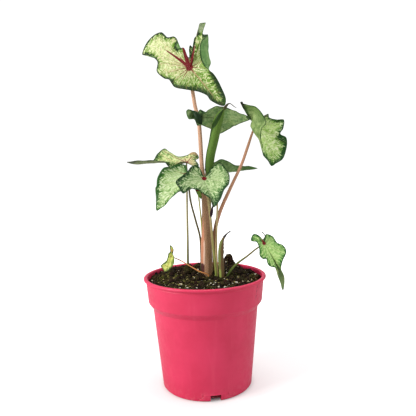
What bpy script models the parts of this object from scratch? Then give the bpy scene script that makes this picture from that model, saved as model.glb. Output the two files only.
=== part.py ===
"""Potted caladium: a plastic nursery pot, its soil, and the plant's stems and leaves.

Metres, +Z up. The origin is on the pot's axis, on the surface that the pot stands on.
Driving dimensions are written in millimetres and scaled by MM.
"""

import math

import bmesh
import bpy
import numpy as np
from mathutils import Vector

MM = 0.001

# Pot: a turned plastic wall with a rolled lip, a rim band, a step and a straight taper
POT_HEIGHT = 108.7
LIP_RADIUS = 60.0
LIP_HEIGHT = 2.6
BAND_TOP_RADIUS = 57.8
BAND_FOOT_RADIUS = 55.9
BAND_FOOT_HEIGHT = 85.0
STEP_RADIUS = 51.6
STEP_HEIGHT = 79.0
FOOT_RADIUS = 44.0
WALL = 1.6
FLOOR_RECESS = 2.0
FLOOR_THICKNESS = 1.6
FOOT_RING_RADIUS = 37.0
CENTRE_PAD_RADIUS = 16.0
TURN_STEPS = 60

# Drainage notches, cut through the foot of the wall and the edge of the floor
NOTCH_COUNT = 3
NOTCH_WIDTH = 10.0
NOTCH_HEIGHT = 6.2
NOTCH_DEPTH = 9.0
NOTCH_BEARING = 10.0

# Soil: fills the pot and is mounded towards the middle
GAP = 0.3
SOIL_EDGE_HEIGHT = 103.5
SOIL_MOUND = 3.5
SOIL_ROUGHNESS = 0.8
SOIL_BACK_SLOPE = 0.05
SOIL_LUMP_SPACING = 13.0
SOIL_LUMP_RISE = 1.2
SOIL_LUMP_TURN = 0.4
SOIL_RINGS = 11
HOLE_CLEARANCE = 0.6
HOLE_SIDES = 12
HOLE_TOP = 130.0
STEM_FOOT = 86.0
STEM_SPACING = 11.0
# Crumbs of soil that stand up: across, away, radius of the foot, height
SOIL_CLUMPS = ((-17.0, 15.0, 7.0, 7.5), (26.0, 43.0, 9.0, 12.5), (-27.0, -22.0, 12.0, 1.5))

# Leaf blades
BLADE_THICKNESS = 0.8
BLADE_RINGS = 4
RISE_NEAR_JOINT = 0.35
STALK_LEADS = (1.2, 3.5)

# Each blade: the joint with its stalk, the way its upper side faces, the spacing of the
# points round its edge, and the edge itself as (across, away, up) from the joint. Three
# more numbers on an edge point bow its rib that far aside, where a lobe folds over.
BLADES = {
    "blade_1": {
        "joint": (-9, -4, 308), "upper_side": (-0.15, -0.95, 0.25), "spacing": 4.5,
        "edge": (
            (-1, 2, 10), (-5, 3, 19), (-11, 4, 18), (-13, 5, 22), (-11, 6, 26), (-14, 8, 31),
            (-21, 9, 31), (-26, 11, 36), (-34, 13, 34), (-42, 15, 27), (-46, 14, 16.5),
            (-40, 12, 16), (-31, 8, 8), (-32, 9, -1), (-25, 8, -8), (-20, 5, -10),
            (-15, 4, -17), (-6, 0, -20), (7, -3, -23), (15, -6, -27), (20, -8, -33),
            (31, -11, -38), (33, -12, -31), (28, -14, -19), (22, -17, -10, 4, 0, 0),
            (15, -20, -5, 18, 0, 2), (11, -21, 2, 27, 1, 3), (10, -20, 12, 26, 3, 0),
            (12, -17, 20, 22, 4, -3), (18, -9, 27, 11, 6, -4), (13, -3, 30, 3, 3, 0),
            (16, -3, 40), (10, -1, 39), (10, 2, 32), (5, 2, 27), (4, 2, 19), (1, 2, 21),
            (0, 2, 17), (2, 1, 12)),
    },
    "blade_2": {
        "joint": (16, 4, 260), "upper_side": (0, 0.7, 0.7), "spacing": 5,
        "edge": (
            (4, -13, 10.5), (11, -13, 8.5), (21, -13, 4), (32, -10, -1), (25, -4, -4),
            (16, 4, -7), (3, 10, -13), (-6, 4, -9), (-12, -3, -7), (-16, -10, -6),
            (-19, -16, -7), (-22, -17, -1.5), (-27, -17, -1), (-29, -16, 6), (-27, -16, 8),
            (-24, -16, 6), (-21, -16, 2), (-16, -14, 8), (-13, -13, 4.5), (-8, -13, 8),
            (-2, -14, 10.5)),
    },
    "blade_3": {
        "joint": (54, 3, 252.5), "upper_side": (0.55, -0.5, 0.6), "spacing": 5,
        "edge": (
            (4, 2, 5), (9, 1, 10), (12, 2, 11.5), (13, 3, 8), (20, 3, 6), (27, 3, 5.5),
            (26, 1, -3), (23, 0, -8), (29, 1, -12), (29, 0, -21), (25, -2, -32),
            (17, -6, -37), (13, -7, -39), (9, -9, -34), (4, -11, -27, -2, 0, 0),
            (4, -14, -20, -5, -1, 0), (2, -18, -12, -10, -2, 0), (3, -20, -4, -13, -2, 0),
            (7, -19, 1, -17, -2, 2), (4, -18, 9, -11, -2, 3), (-2, -17, 16, -3, 0, 1),
            (-8, -15, 18), (-15, -11, 20), (-11, -9, 14), (-6, -4, 8)),
    },
    "blade_4": {
        "joint": (-15, 10, 219), "upper_side": (0.1, -0.35, 0.93), "spacing": 5.5,
        "edge": (
            (9, 4, 2.5), (12, -2, -3), (8, -7, -4), (2, -10, -1), (-4, -11, 1),
            (-10, -12, -2), (-16, -12, -4), (-21, -13, 1), (-27, -13, 2.5), (-35, -14, 3),
            (-44, -15, 3), (-57, -14, 2), (-52, -4, 0), (-41, 2, 0), (-34, 7, 3),
            (-30, 12, 10), (-23, 17, 15), (-15, 18, 9), (-8, 19, 7), (-1, 19, 8),
            (8, 18, 11), (12, 14, 5)),
    },
    "blade_5": {
        "joint": (-15.5, -7, 207.5), "upper_side": (-0.35, -0.85, 0.4), "spacing": 5.5,
        "edge": (
            (2, 1, 3), (0, 2, 9), (-7, 1, 10), (-14, 0, 8), (-21, 0, 7), (-27, -1, -2),
            (-28, -4, -10), (-29, -5, -12), (-28, -11, -21), (-27, -20, -32),
            (-21, -19, -29), (-15, -16, -23), (-7, -11, -16), (2, -8, -15), (8, -4, -9),
            (8, 0, -1), (5, 3, 4)),
    },
    "blade_6": {
        "joint": (2, -9, 203), "upper_side": (0.1, -0.75, 0.65), "spacing": 5,
        "edge": (
            (0, 2, 3), (3, 3, 4), (6, 6, 9), (11, 8, 13), (16, 7, 15), (21, 3, 9),
            (24, -3, 3), (23, -10, -5), (18, -15, -11), (14, -21, -19), (8, -26, -25),
            (5, -22, -18), (-1, -18, -13), (-6, -17, -10), (-13, -18, -8), (-19, -22, -12),
            (-23, -19, -7), (-26, -16, -2), (-24, -13, 1), (-20, -8, 4), (-16, -4, 7),
            (-12, 2, 12), (-6, 5, 13), (-3, 5, 8), (-2, 3, 4)),
    },
    "blade_7": {
        "joint": (9, 17, 210), "upper_side": (0.1, 0.5, 0.85), "spacing": 5.5,
        "edge": (
            (-4, -2, -3.5), (-6.5, -3.5, 2), (-2, -6.5, 6.5), (4, -7.5, 9), (10, -7.5, 11.5),
            (17, -6, 9.5), (24, -3, 5.5), (31, 0, 4.5), (39, 4, 4), (48, 8, 1.5),
            (40, 11, 1), (33, 14, 0), (28, 17, -1), (20, 19, -1), (12, 18, -3),
            (2, 11, -4), (-4, 4, -5)),
    },
    "blade_8": {
        "joint": (58, -9, 139.5), "upper_side": (0.25, -0.8, 0.5), "spacing": 4,
        "edge": (
            (-1, 1, 4), (-3, 3, 6), (-6, 5, 8), (-10, 6, 8), (-12, 5, 2), (-7, 1, 1),
            (-5, -2, -5), (-5, -5, -11), (-2, -7, -14), (1, -8, -14), (3, -10, -20),
            (11, -10, -23), (13, -5, -33), (18, 1, -47), (19, -3, -33), (15, -8, -26),
            (16, -9, -17), (21, -3, -8), (18, 0, -2), (13, 2, 0), (9, 5, 6), (3, 6, 8),
            (1, 3, 6)),
    },
    "blade_9": {
        "joint": (-34, 18, 124), "upper_side": (-0.5, -0.75, 0.4), "spacing": 3.5,
        "edge": (
            (-1, 0, 5), (-1, -1, 12), (3, -3, 8), (1, -3, 5), (3, -5, 1), (3, -6, -6),
            (0, -6, -11), (-6, -5, -15), (-9, -2, -13), (-11, 0, -9), (-6, 0, -6),
            (-4, 1, -1), (-3, 1, 3)),
    },
    "blade_10": {
        "joint": (-5, 7, 192), "upper_side": (0.2, -0.9, 0.3), "spacing": 3.5,
        "edge": (
            (2.5, 0, 3), (4, -0.5, -3), (3.5, -2, -9), (0, -1, -5), (-2.5, 0, 1), (-3, 2, 7),
            (-1, 3, 14), (1.5, 2, 9)),
    },
}

# Each stem: the blade that it carries, its route down to the soil, and its radius at
# each point of the route. A stalk's route starts under its blade's joint.
STEMS = {
    "crown_stem": {
        "blade": "blade_1",
        "route": (
            (-9, 4, 299), (-7, 5, 287), (-5, 4, 273), (-2, 3, 259), (-1, 3, 245),
            (-0.5, 3, 231), (0, 3, 216), (1, 3, 204), (2, 2.5, 189), (2.5, 2, 157),
            (2.3, 1.5, 138), (2.2, 0.5, 121), (2.5, -1, 108), (2.5, -1, 102)),
        "radii": (1.5, 1.8, 1.9, 1.95, 2, 2, 2, 2.2, 3.0, 3.8, 4.7, 4.9, 4.2, 4),
    },
    "stalk_2": {
        "blade": "blade_2",
        "route": (
            (15.5, 1.5, 252), (12.5, 4.5, 238), (8.5, 7, 226), (4.8, 8.3, 213),
            (3.5, 9, 200), (2.5, 9.5, 180), (2.5, 9.5, 150), (2.5, 9.5, 112), (2.5, 9.5, 102)),
        "radii": (0.9, 1.2, 1.2, 1.2, 1.3, 1.3, 1.3, 1.3, 1.3),
    },
    "stalk_3": {
        "blade": "blade_3",
        "route": (
            (50, 6, 246), (45, 6, 232), (39, 6, 216), (29, 6, 196), (18.5, 7, 174),
            (13.5, 8.5, 160), (10.5, 11, 145), (10, 12, 131), (10, 12, 112), (10, 12, 102)),
        "radii": (1.1, 1.4, 1.4, 1.6, 1.8, 1.9, 1.9, 1.9, 1.9, 1.9),
    },
    "stalk_4": {
        "blade": "blade_4",
        "route": (
            (-15, 9.5, 210), (-15.5, 9.5, 195), (-16, 11, 172), (-16.5, 13.5, 140),
            (-17, 15, 118), (-17, 15, 102)),
        "radii": (0.8, 0.9, 1, 1.1, 1.2, 1.2),
    },
    "stalk_5": {
        "blade": "blade_5",
        "route": (
            (-13.5, -1.5, 202), (-12, 1.5, 182), (-7.6, 3.8, 162), (-3.9, 5, 146),
            (-3.2, 5.4, 132), (-3.2, 5.4, 112), (-3.2, 5.4, 102)),
        "radii": (0.8, 0.9, 1, 1, 1, 1, 1),
    },
    "stalk_6": {
        "blade": "blade_6",
        "route": (
            (2, -6, 199.5), (5, -4.8, 184), (7, -4.6, 165), (8.2, -5.5, 147),
            (9.3, -7, 133), (10.5, -8.7, 121), (11, -10, 112), (11, -10, 102)),
        "radii": (1, 1.1, 1.2, 1.2, 1.2, 1.2, 1.2, 1.2),
    },
    "stalk_7": {
        "blade": "blade_7",
        "route": (
            (9.5, 14, 204), (11.5, 10, 197), (13.5, 4, 187), (14, 0, 175), (13, -1.7, 160),
            (12.3, -2.5, 145), (12, -3, 130), (12.3, -4.5, 112), (12.3, -4.5, 102)),
        "radii": (0.6, 0.9, 0.9, 0.9, 1, 1, 1, 1, 1),
    },
    "stalk_8": {
        "blade": "blade_8",
        "route": (
            (55.5, -5, 136.5), (50, -5, 133), (42, -6, 127), (32, -6.5, 120),
            (25, -7, 113), (21.5, -7, 107), (21.5, -7, 102)),
        "radii": (0.7, 0.8, 0.9, 1, 1.1, 1.2, 1.2),
    },
    "stalk_9": {
        "blade": "blade_9",
        "route": (
            (-31, 20, 122), (-25, 16.5, 120), (-17, 8, 117), (-10, 0, 114.5), (-5, -6, 113),
            (-0.5, -9.4, 112), (3.2, -10, 110.5), (4, -10, 107.5), (4, -10, 102)),
        "radii": (0.5, 0.6, 0.6, 0.6, 0.6, 0.6, 0.6, 0.6, 0.6),
    },
    "stalk_10": {
        "blade": "blade_10",
        "route": (
            (-4.5, 9, 188), (-3, 9, 172), (-1.7, 8.8, 150), (-1.7, 8.6, 112),
            (-1.7, 8.6, 102)),
        "radii": (0.6, 0.7, 0.8, 0.8, 0.8),
    },
    "rolled_leaf": {
        "blade": None,
        "route": (
            (22, -15, 267.5), (20.5, -13.5, 265), (18, -11.5, 260), (15, -7.5, 251),
            (12, -4, 238), (9, -1, 226), (7.2, 2.8, 213), (7, 5.5, 200), (6.8, 7, 184),
            (6.5, 8, 167), (6.5, 8, 140), (6.5, 8, 112), (6.5, 8, 102)),
        "radii": (0.5, 2.2, 4.1, 4.7, 4.4, 4.3, 4.0, 2.4, 1.7, 1.5, 1.5, 1.5, 1.5),
    },
    "sheath_spear": {
        "blade": None,
        "route": (
            (26, -7, 152), (22, -7, 149), (19, -7, 145), (17.2, -7.3, 140), (16.4, -8, 132),
            (16.2, -9, 122), (16.6, -10.5, 112), (16.6, -10.5, 102)),
        "radii": (0.35, 0.4, 1.1, 2.3, 2.9, 2.9, 2.5, 2.2),
    },
}

# Colour (red, green, blue), roughness
FINISHES = {
    "pot": ((0.68, 0.035, 0.11), 0.42),
    "soil": ((0.018, 0.013, 0.009), 0.95),
    "blade": ((0.16, 0.34, 0.07), 0.5),
    "stem": ((0.34, 0.17, 0.09), 0.55),
}


def clear_scene():
    """Remove every object of the scene that the script starts in."""
    for thing in list(bpy.data.objects):
        bpy.data.objects.remove(thing)


def new_collection(name):
    group = bpy.data.collections.new(name)
    bpy.context.scene.collection.children.link(group)
    return group


def new_material(name):
    colour, roughness = FINISHES[name]
    made = bpy.data.materials.new(name)
    made.use_nodes = True
    shader = made.node_tree.nodes["Principled BSDF"]
    shader.inputs["Base Color"].default_value = (*colour, 1.0)
    shader.inputs["Roughness"].default_value = roughness
    return made


def add_object(name, data, group, material=None):
    thing = bpy.data.objects.new(name, data)
    group.objects.link(thing)
    if material:
        data.materials.append(material)
    return thing


def evaluated_mesh(thing):
    """The mesh of an object after its modifiers, as new mesh data."""
    state = bpy.context.evaluated_depsgraph_get()
    return bpy.data.meshes.new_from_object(thing.evaluated_get(state))


def smooth_curve(points, spacing, closed):
    """Points along the smooth curve through the given ones, about one spacing apart.

    Each span is a cubic whose slope at a point is that of the line between the point's
    two neighbours, measured in steps of the square root of the distance. Every given
    point is kept. The first three columns are the place; further ones follow along.
    """
    rows = np.array(points, float)
    if closed:
        rows = np.vstack([rows[-1], rows, rows[0], rows[1]])
    else:
        rows = np.vstack([2 * rows[0] - rows[1], rows, 2 * rows[-1] - rows[-2]])
    lengths = np.linalg.norm(np.diff(rows[:, :3], axis=0), axis=1)
    steps = np.sqrt(lengths)
    out = []
    for i in range(1, len(rows) - 2):
        before, here, after = steps[i - 1], steps[i], steps[i + 1]
        leave = (rows[i + 1] - rows[i - 1]) / (before + here) * here
        arrive = (rows[i + 2] - rows[i]) / (here + after) * here
        count = max(1, round(lengths[i] / spacing))
        u = (np.arange(count) / count)[:, None]
        out.append(
            (2 * u**3 - 3 * u**2 + 1) * rows[i] + (u**3 - 2 * u**2 + u) * leave
            + (3 * u**2 - 2 * u**3) * rows[i + 1] + (u**3 - u**2) * arrive)
    if not closed:
        out.append(rows[-2:-1])
    return np.vstack(out)


def turned(name, profile, steps, group, material):
    """A closed solid turned round Z from a profile of (radius, height) that starts and
    ends on the axis and runs down its outer side."""
    mesh = bpy.data.meshes.new(name)
    places = [(radius * MM, 0.0, height * MM) for radius, height in profile]
    edges = [(i, i + 1) for i in range(len(places) - 1)]
    mesh.from_pydata(places, edges, [])
    thing = add_object(name, mesh, group, material)
    screw = thing.modifiers.new("Turn", "SCREW")
    screw.steps = steps
    screw.render_steps = steps
    screw.use_merge_vertices = True
    screw.merge_threshold = 0.00001
    return thing


def apply_all(thing):
    """Replace an object's mesh by its evaluated one and drop its modifiers."""
    made = evaluated_mesh(thing)
    thing.modifiers.clear()
    thing.data = made


def cut(thing, cutter):
    """Cut one object out of another and keep the cutter hidden."""
    cutter.hide_render = True
    cutter.display_type = "WIRE"
    difference = thing.modifiers.new("Cut", "BOOLEAN")
    difference.operation = "DIFFERENCE"
    difference.solver = "EXACT"
    difference.object = cutter


def inner_radius(height):
    """The pot's inner radius at a height: its outer wall less the wall's thickness."""
    heights = (0, STEP_HEIGHT, BAND_FOOT_HEIGHT, POT_HEIGHT)
    radii = (FOOT_RADIUS, STEP_RADIUS, BAND_FOOT_RADIUS, BAND_TOP_RADIUS)
    return float(np.interp(height, heights, radii)) - WALL


def make_pot(group, cutters, material):
    """The turned pot: a foot ring, a centre pad, and drainage notches round its foot."""
    floor_top = FLOOR_RECESS + FLOOR_THICKNESS
    lip_foot = POT_HEIGHT - LIP_HEIGHT
    profile = [
        (0, floor_top),
        (inner_radius(floor_top), floor_top),
        (inner_radius(STEP_HEIGHT), STEP_HEIGHT),
        (inner_radius(BAND_FOOT_HEIGHT), BAND_FOOT_HEIGHT),
        (inner_radius(POT_HEIGHT), POT_HEIGHT - 0.8),
        (inner_radius(POT_HEIGHT) + 0.8, POT_HEIGHT),
        (LIP_RADIUS - 0.9, POT_HEIGHT),
        (LIP_RADIUS, POT_HEIGHT - 0.9),
        (LIP_RADIUS, lip_foot + 0.9),
        (LIP_RADIUS - 0.9, lip_foot),
        (BAND_TOP_RADIUS, lip_foot),
        (BAND_FOOT_RADIUS, BAND_FOOT_HEIGHT),
        (BAND_FOOT_RADIUS - 0.5, BAND_FOOT_HEIGHT - 1),
        (STEP_RADIUS, STEP_HEIGHT),
        (FOOT_RADIUS + 0.1, 1.2),
        (FOOT_RADIUS - 1.0, 0),
        (FOOT_RING_RADIUS, 0),
        (FOOT_RING_RADIUS - 0.5, FLOOR_RECESS),
        (CENTRE_PAD_RADIUS + 0.5, FLOOR_RECESS),
        (CENTRE_PAD_RADIUS, 0),
        (0, 0),
    ]
    pot = turned("pot", profile, TURN_STEPS, group, material)
    for number in range(NOTCH_COUNT):
        cut(pot, notch_cutter(number, cutters))
    return pot


def notch_cutter(number, cutters):
    """A block that is as wide and high as a notch and reaches through the wall's foot."""
    bearing = math.radians(NOTCH_BEARING + number * 360 / NOTCH_COUNT)
    middle = FOOT_RADIUS + 2 - NOTCH_DEPTH / 2
    bpy.ops.mesh.primitive_cube_add(size=1)
    block = bpy.context.object
    block.name = f"notch_cutter_{number + 1}"
    block.scale = (NOTCH_WIDTH * MM, NOTCH_DEPTH * MM, 2 * NOTCH_HEIGHT * MM)
    block.location = (
        middle * math.sin(bearing) * MM, -middle * math.cos(bearing) * MM, 0)
    block.rotation_euler = (0, 0, bearing)
    for holder in list(block.users_collection):
        holder.objects.unlink(block)
    cutters.objects.link(block)
    return block


def soil_height(across, away):
    """Height of the soil: a low mound that is fuller at the back, waves, lumps in
    staggered rows, and the clumps."""
    out = math.hypot(across, away) / inner_radius(SOIL_EDGE_HEIGHT)
    height = SOIL_EDGE_HEIGHT + SOIL_MOUND * max(0.0, 1 - out * out)
    height += SOIL_BACK_SLOPE * max(0.0, away)
    waves = (
        math.sin(across / 7.0 + 1.3) * math.cos(away / 8.5)
        + 0.6 * math.sin(across / 3.9 - away / 4.7 + 0.4))
    height += SOIL_ROUGHNESS * waves
    along = across * math.cos(SOIL_LUMP_TURN) + away * math.sin(SOIL_LUMP_TURN)
    aside = away * math.cos(SOIL_LUMP_TURN) - across * math.sin(SOIL_LUMP_TURN)
    phase = 2 * math.pi / SOIL_LUMP_SPACING
    height += SOIL_LUMP_RISE * math.cos(along * phase) * math.cos(aside * phase)
    for clump_across, clump_away, radius, rise in SOIL_CLUMPS:
        apart = math.hypot(across - clump_across, away - clump_away) / radius
        height += rise * math.exp(-2 * apart * apart)
    return height


def make_soil(group, cutters, material):
    """The soil body: turned to fit the pot, its top shaped, and a hole for each stem."""
    top = SOIL_EDGE_HEIGHT
    bottom = FLOOR_RECESS + FLOOR_THICKNESS + GAP
    outer = inner_radius(top) - GAP
    profile = [(outer * i / SOIL_RINGS, top) for i in range(SOIL_RINGS + 1)]
    for height in (BAND_FOOT_HEIGHT, STEP_HEIGHT, bottom):
        profile.append((inner_radius(height) - GAP, height))
    profile.append((0, bottom))
    soil = turned("soil", profile, TURN_STEPS, group, material)
    apply_all(soil)
    for vertex in soil.data.vertices:
        if vertex.co.z > (top - 0.1) * MM:
            height = soil_height(vertex.co.x / MM, vertex.co.y / MM)
            vertex.co.z = height * MM
    for name, stem in STEMS.items():
        cut(soil, hole_cutter(name, stem, cutters))
    return soil


def hole_cutter(name, stem, cutters):
    """A plain round hole for a stem, upright and a little wider than the stem."""
    across, away, _ = stem["route"][-1]
    radius = (max(stem["radii"][-2:]) + HOLE_CLEARANCE) * MM
    low = (STEM_FOOT - GAP) * MM
    high = HOLE_TOP * MM
    mesh = bpy.data.meshes.new(f"{name}_hole")
    builder = bmesh.new()
    bmesh.ops.create_cone(
        builder, cap_ends=True, segments=HOLE_SIDES, radius1=radius, radius2=radius,
        depth=high - low)
    bmesh.ops.translate(
        builder, verts=builder.verts, vec=(across * MM, away * MM, (low + high) / 2))
    builder.to_mesh(mesh)
    builder.free()
    return add_object(f"{name}_hole", mesh, cutters)


def blade_surface(blade):
    """Points of a blade, by place round its edge and by ring out from the joint.

    Each point of the edge has a rib from the joint. Along a rib the reach grows evenly,
    the rise above the joint's plane grows slowly near the joint and faster outside, and
    a rib with a bow swings aside most at its middle.
    """
    edge = [tuple(point) + (0,) * (6 - len(point)) for point in blade["edge"]]
    rows = smooth_curve(edge, blade["spacing"], closed=True)
    reach, bow = rows[:, :3], rows[:, 3:]
    up = np.array(blade["upper_side"], float)
    up /= np.linalg.norm(up)
    lift = (reach @ up)[:, None] * up
    out = np.linspace(0, 1, BLADE_RINGS + 1)[None, :, None]
    rise = RISE_NEAR_JOINT * out * (1 - out) + out**2
    places = (
        out * (reach - lift)[:, None] + rise * lift[:, None]
        + 2 * out * (1 - out) * bow[:, None])
    return places + np.array(blade["joint"], float)


def make_blade(name, blade, group, material):
    """A leaf blade: a grid rolled round the joint, split into triangles and thickened."""
    places = blade_surface(blade) * MM
    around = len(places)
    builder = bmesh.new()
    bmesh.ops.create_grid(builder, x_segments=around, y_segments=BLADE_RINGS, size=0.5)
    for vertex in builder.verts:
        turn = round((vertex.co.x + 0.5) * around) % around
        ring = round((vertex.co.y + 0.5) * BLADE_RINGS)
        vertex.co = places[turn, ring]
    bmesh.ops.remove_doubles(builder, verts=builder.verts, dist=0.000001)
    bmesh.ops.triangulate(builder, faces=builder.faces)
    up = Vector(blade["upper_side"])
    if sum(face.normal.dot(up) * face.calc_area() for face in builder.faces) < 0:
        bmesh.ops.reverse_faces(builder, faces=builder.faces)
    mesh = bpy.data.meshes.new(name)
    builder.to_mesh(mesh)
    builder.free()
    mesh.shade_smooth()
    thing = add_object(name, mesh, group, material)
    solidify = thing.modifiers.new("Thickness", "SOLIDIFY")
    solidify.thickness = BLADE_THICKNESS * MM
    solidify.offset = 0
    return thing


def stem_rows(stem):
    """A stem's (across, away, up, radius) along its smooth route, down into the soil."""
    rows = [tuple(place) + (radius,) for place, radius in zip(stem["route"], stem["radii"])]
    if stem["blade"]:
        blade = BLADES[stem["blade"]]
        up = Vector(blade["upper_side"]).normalized()
        starts = [Vector(blade["joint"]) - up * lead for lead in STALK_LEADS]
        rows = [tuple(start) + (stem["radii"][0],) for start in starts] + rows
    last = rows[-1]
    rows.append((last[0], last[1], STEM_FOOT, last[3]))
    return smooth_curve(rows, STEM_SPACING, closed=False)


def make_stem(name, stem, group, material):
    """A stem: a round curve that follows its route and changes in thickness."""
    rows = stem_rows(stem)
    curve = bpy.data.curves.new(name, "CURVE")
    curve.dimensions = "3D"
    curve.bevel_depth = MM
    curve.bevel_resolution = 2
    curve.use_fill_caps = True
    spline = curve.splines.new("POLY")
    spline.points.add(len(rows) - 1)
    for point, row in zip(spline.points, rows):
        point.co = (*(row[:3] * MM), 1.0)
        point.radius = row[3]
    return add_object(name, curve, group, material)


def main():
    clear_scene()
    plant = new_collection("potted_caladium")
    cutters = new_collection("cutters")
    pot_finish = new_material("pot")
    soil_finish = new_material("soil")
    blade_finish = new_material("blade")
    stem_finish = new_material("stem")
    make_pot(plant, cutters, pot_finish)
    make_soil(plant, cutters, soil_finish)
    for name, stem in STEMS.items():
        finish = blade_finish if name == "rolled_leaf" else stem_finish
        make_stem(name, stem, plant, finish)
    for name, blade in BLADES.items():
        make_blade(name, blade, plant, blade_finish)


main()
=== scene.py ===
import math

import bpy
import numpy as np
from mathutils import Matrix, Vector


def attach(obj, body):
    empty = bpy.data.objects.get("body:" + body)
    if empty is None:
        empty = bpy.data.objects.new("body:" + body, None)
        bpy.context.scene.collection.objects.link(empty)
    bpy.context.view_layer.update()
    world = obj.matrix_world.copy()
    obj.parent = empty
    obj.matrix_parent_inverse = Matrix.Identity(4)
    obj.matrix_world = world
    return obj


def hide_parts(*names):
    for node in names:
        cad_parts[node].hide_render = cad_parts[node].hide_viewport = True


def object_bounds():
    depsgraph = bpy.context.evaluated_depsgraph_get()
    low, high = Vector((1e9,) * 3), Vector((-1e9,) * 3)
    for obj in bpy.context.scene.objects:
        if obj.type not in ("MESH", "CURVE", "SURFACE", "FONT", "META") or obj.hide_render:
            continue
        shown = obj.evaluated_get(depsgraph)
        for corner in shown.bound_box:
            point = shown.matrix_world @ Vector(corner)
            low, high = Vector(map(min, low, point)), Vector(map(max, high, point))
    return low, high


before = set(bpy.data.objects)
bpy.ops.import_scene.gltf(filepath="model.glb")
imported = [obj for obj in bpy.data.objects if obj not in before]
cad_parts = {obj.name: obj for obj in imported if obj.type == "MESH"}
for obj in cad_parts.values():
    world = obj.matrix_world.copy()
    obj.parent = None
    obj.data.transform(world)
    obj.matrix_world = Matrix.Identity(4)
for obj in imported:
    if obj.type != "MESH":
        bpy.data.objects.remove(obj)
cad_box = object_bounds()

# Camera: a portrait lens a little under half a metre in front of the plant, level with
# the upper leaves and looking slightly down, as the photograph was taken.
MM = 0.001
LENS_PIXELS = 460.5
PICTURE_PIXELS = 416
SENSOR = 36.0
EYE = (4.9, -448.0, 213.4)
LOOK_DOWN = 4.99
ROLL = 1.51
camera_data = bpy.data.cameras.new("camera")
camera_data.sensor_width = SENSOR
camera_data.lens = LENS_PIXELS / PICTURE_PIXELS * SENSOR
camera = bpy.data.objects.new("camera", camera_data)
bpy.context.scene.collection.objects.link(camera)
camera.matrix_world = (
    Matrix.Translation([value * MM for value in EYE])
    @ Matrix.Rotation(math.radians(90 - LOOK_DOWN), 4, "X")
    @ Matrix.Rotation(math.radians(-ROLL), 4, "Z"))
bpy.context.scene.camera = camera
bpy.context.scene.view_settings.view_transform = "Standard"


# Floor, light tent and lamps: the plant stands on white paper in a bright room, with a
# large soft window on the left in front and a weaker one on the right.
FLOOR_HALF = 2500.0
PAPER_WHITE = (0.6, 0.59, 0.59)
# The glow's first stretch paints a soft shade round the pot's foot; the second fades the paper out to white
# far away.
PAPER_GLOW_AND_FOOT_SHADE = ((0.036, 0.05, 0.0, 0.46), (0.1, 0.5, 0.0, 0.6))
SKY_STRENGTH = 0.58
WINDOWS = (
    ("window_left", (-1100, -500, 700), 600, 15.0, (1.0, 0.985, 0.96)),
    ("window_right", (1000, -300, 500), 500, 2.0, (0.97, 0.985, 1.0)),
    ("window_top", (100, 100, 1300), 600, 5.8, (1.0, 1.0, 1.0)),
)


def colour(red, green, blue):
    """A colour given in the 0 to 255 steps of a screen, as the linear colour of a shader."""
    steps = np.array((red, green, blue)) / 255
    linear = np.where(steps < 0.04045, steps / 12.92, ((steps + 0.055) / 1.055) ** 2.4)
    return (*[float(value) for value in linear], 1.0)


def new_piece(name, places, faces, materials, face_materials=None, fields=None):
    """An object at the origin from points in millimetres, with its face materials and
    its fields: one number or one vector for each point."""
    mesh = bpy.data.meshes.new(name)
    mesh.from_pydata((places * MM).tolist(), [], faces)
    for material in materials:
        mesh.materials.append(material)
    if face_materials is not None:
        mesh.polygons.foreach_set("material_index", np.asarray(face_materials, np.int32))
    for field, values in (fields or {}).items():
        values = np.asarray(values, np.float32)
        kind, key = ("FLOAT", "value") if values.ndim == 1 else ("FLOAT_VECTOR", "vector")
        layer = mesh.attributes.new(field, kind, "POINT")
        layer.data.foreach_set(key, values.ravel())
    mesh.shade_smooth()
    piece = bpy.data.objects.new(name, mesh)
    bpy.context.scene.collection.objects.link(piece)
    return piece


def new_material(name):
    """A material and its Principled shader, with the shader's own nodes kept."""
    material = bpy.data.materials.new(name)
    material.use_nodes = True
    return material, material.node_tree.nodes["Principled BSDF"]


def add_node(tree, kind, settings=None, **sockets):
    """A node whose settings and sockets are given; a socket takes a value or a link.
    A socket named input_2 is the third one."""
    made = tree.nodes.new(kind)
    for key, value in (settings or {}).items():
        setattr(made, key, value)
    for key, value in sockets.items():
        if key.startswith("input_"):
            socket = made.inputs[int(key[6:])]
        else:
            socket = made.inputs[key.replace("_", " ")]
        if isinstance(value, bpy.types.NodeSocket):
            tree.links.new(value, socket)
        else:
            socket.default_value = value
    return made


def sums(tree, operation, *values, clamp=False):
    """The outcome of one arithmetic step on numbers or links."""
    sockets = {f"input_{i}": value for i, value in enumerate(values)}
    settings = {"operation": operation, "use_clamp": clamp}
    return add_node(tree, "ShaderNodeMath", settings, **sockets).outputs[0]


def ramp(tree, value, low, high, start=0.0, end=1.0):
    """A smooth rise from start to end while the value goes from low to high."""
    made = add_node(
        tree, "ShaderNodeMapRange", {"interpolation_type": "SMOOTHSTEP"},
        input_0=value, input_1=low, input_2=high, input_3=start, input_4=end)
    return made.outputs[0]


def blend(tree, share, first, second, mode="MIX"):
    """One colour laid over another by a share."""
    made = add_node(
        tree, "ShaderNodeMix", {"data_type": "RGBA", "blend_type": mode},
        input_0=share, input_6=first, input_7=second)
    return made.outputs[2]


def grain(tree, vector, scale, detail=2.0, kind="Fac"):
    """Cloudy noise of a scale, from 0 to 1."""
    made = add_node(
        tree, "ShaderNodeTexNoise", Vector=vector, Scale=scale, Detail=detail)
    return made.outputs[kind]


def millimetres(tree):
    """The place on the object in millimetres."""
    place = tree.nodes.new("ShaderNodeTexCoord").outputs["Object"]
    made = add_node(
        tree, "ShaderNodeVectorMath", {"operation": "SCALE"}, Vector=place, Scale=1000.0)
    return made.outputs[0]


def set_bump(tree, shader, height, distance, strength=1.0):
    """Relief on a shader from a height in units of the distance."""
    made = add_node(
        tree, "ShaderNodeBump", Height=height, Distance=distance, Strength=strength)
    tree.links.new(made.outputs[0], shader.inputs["Normal"])


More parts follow.
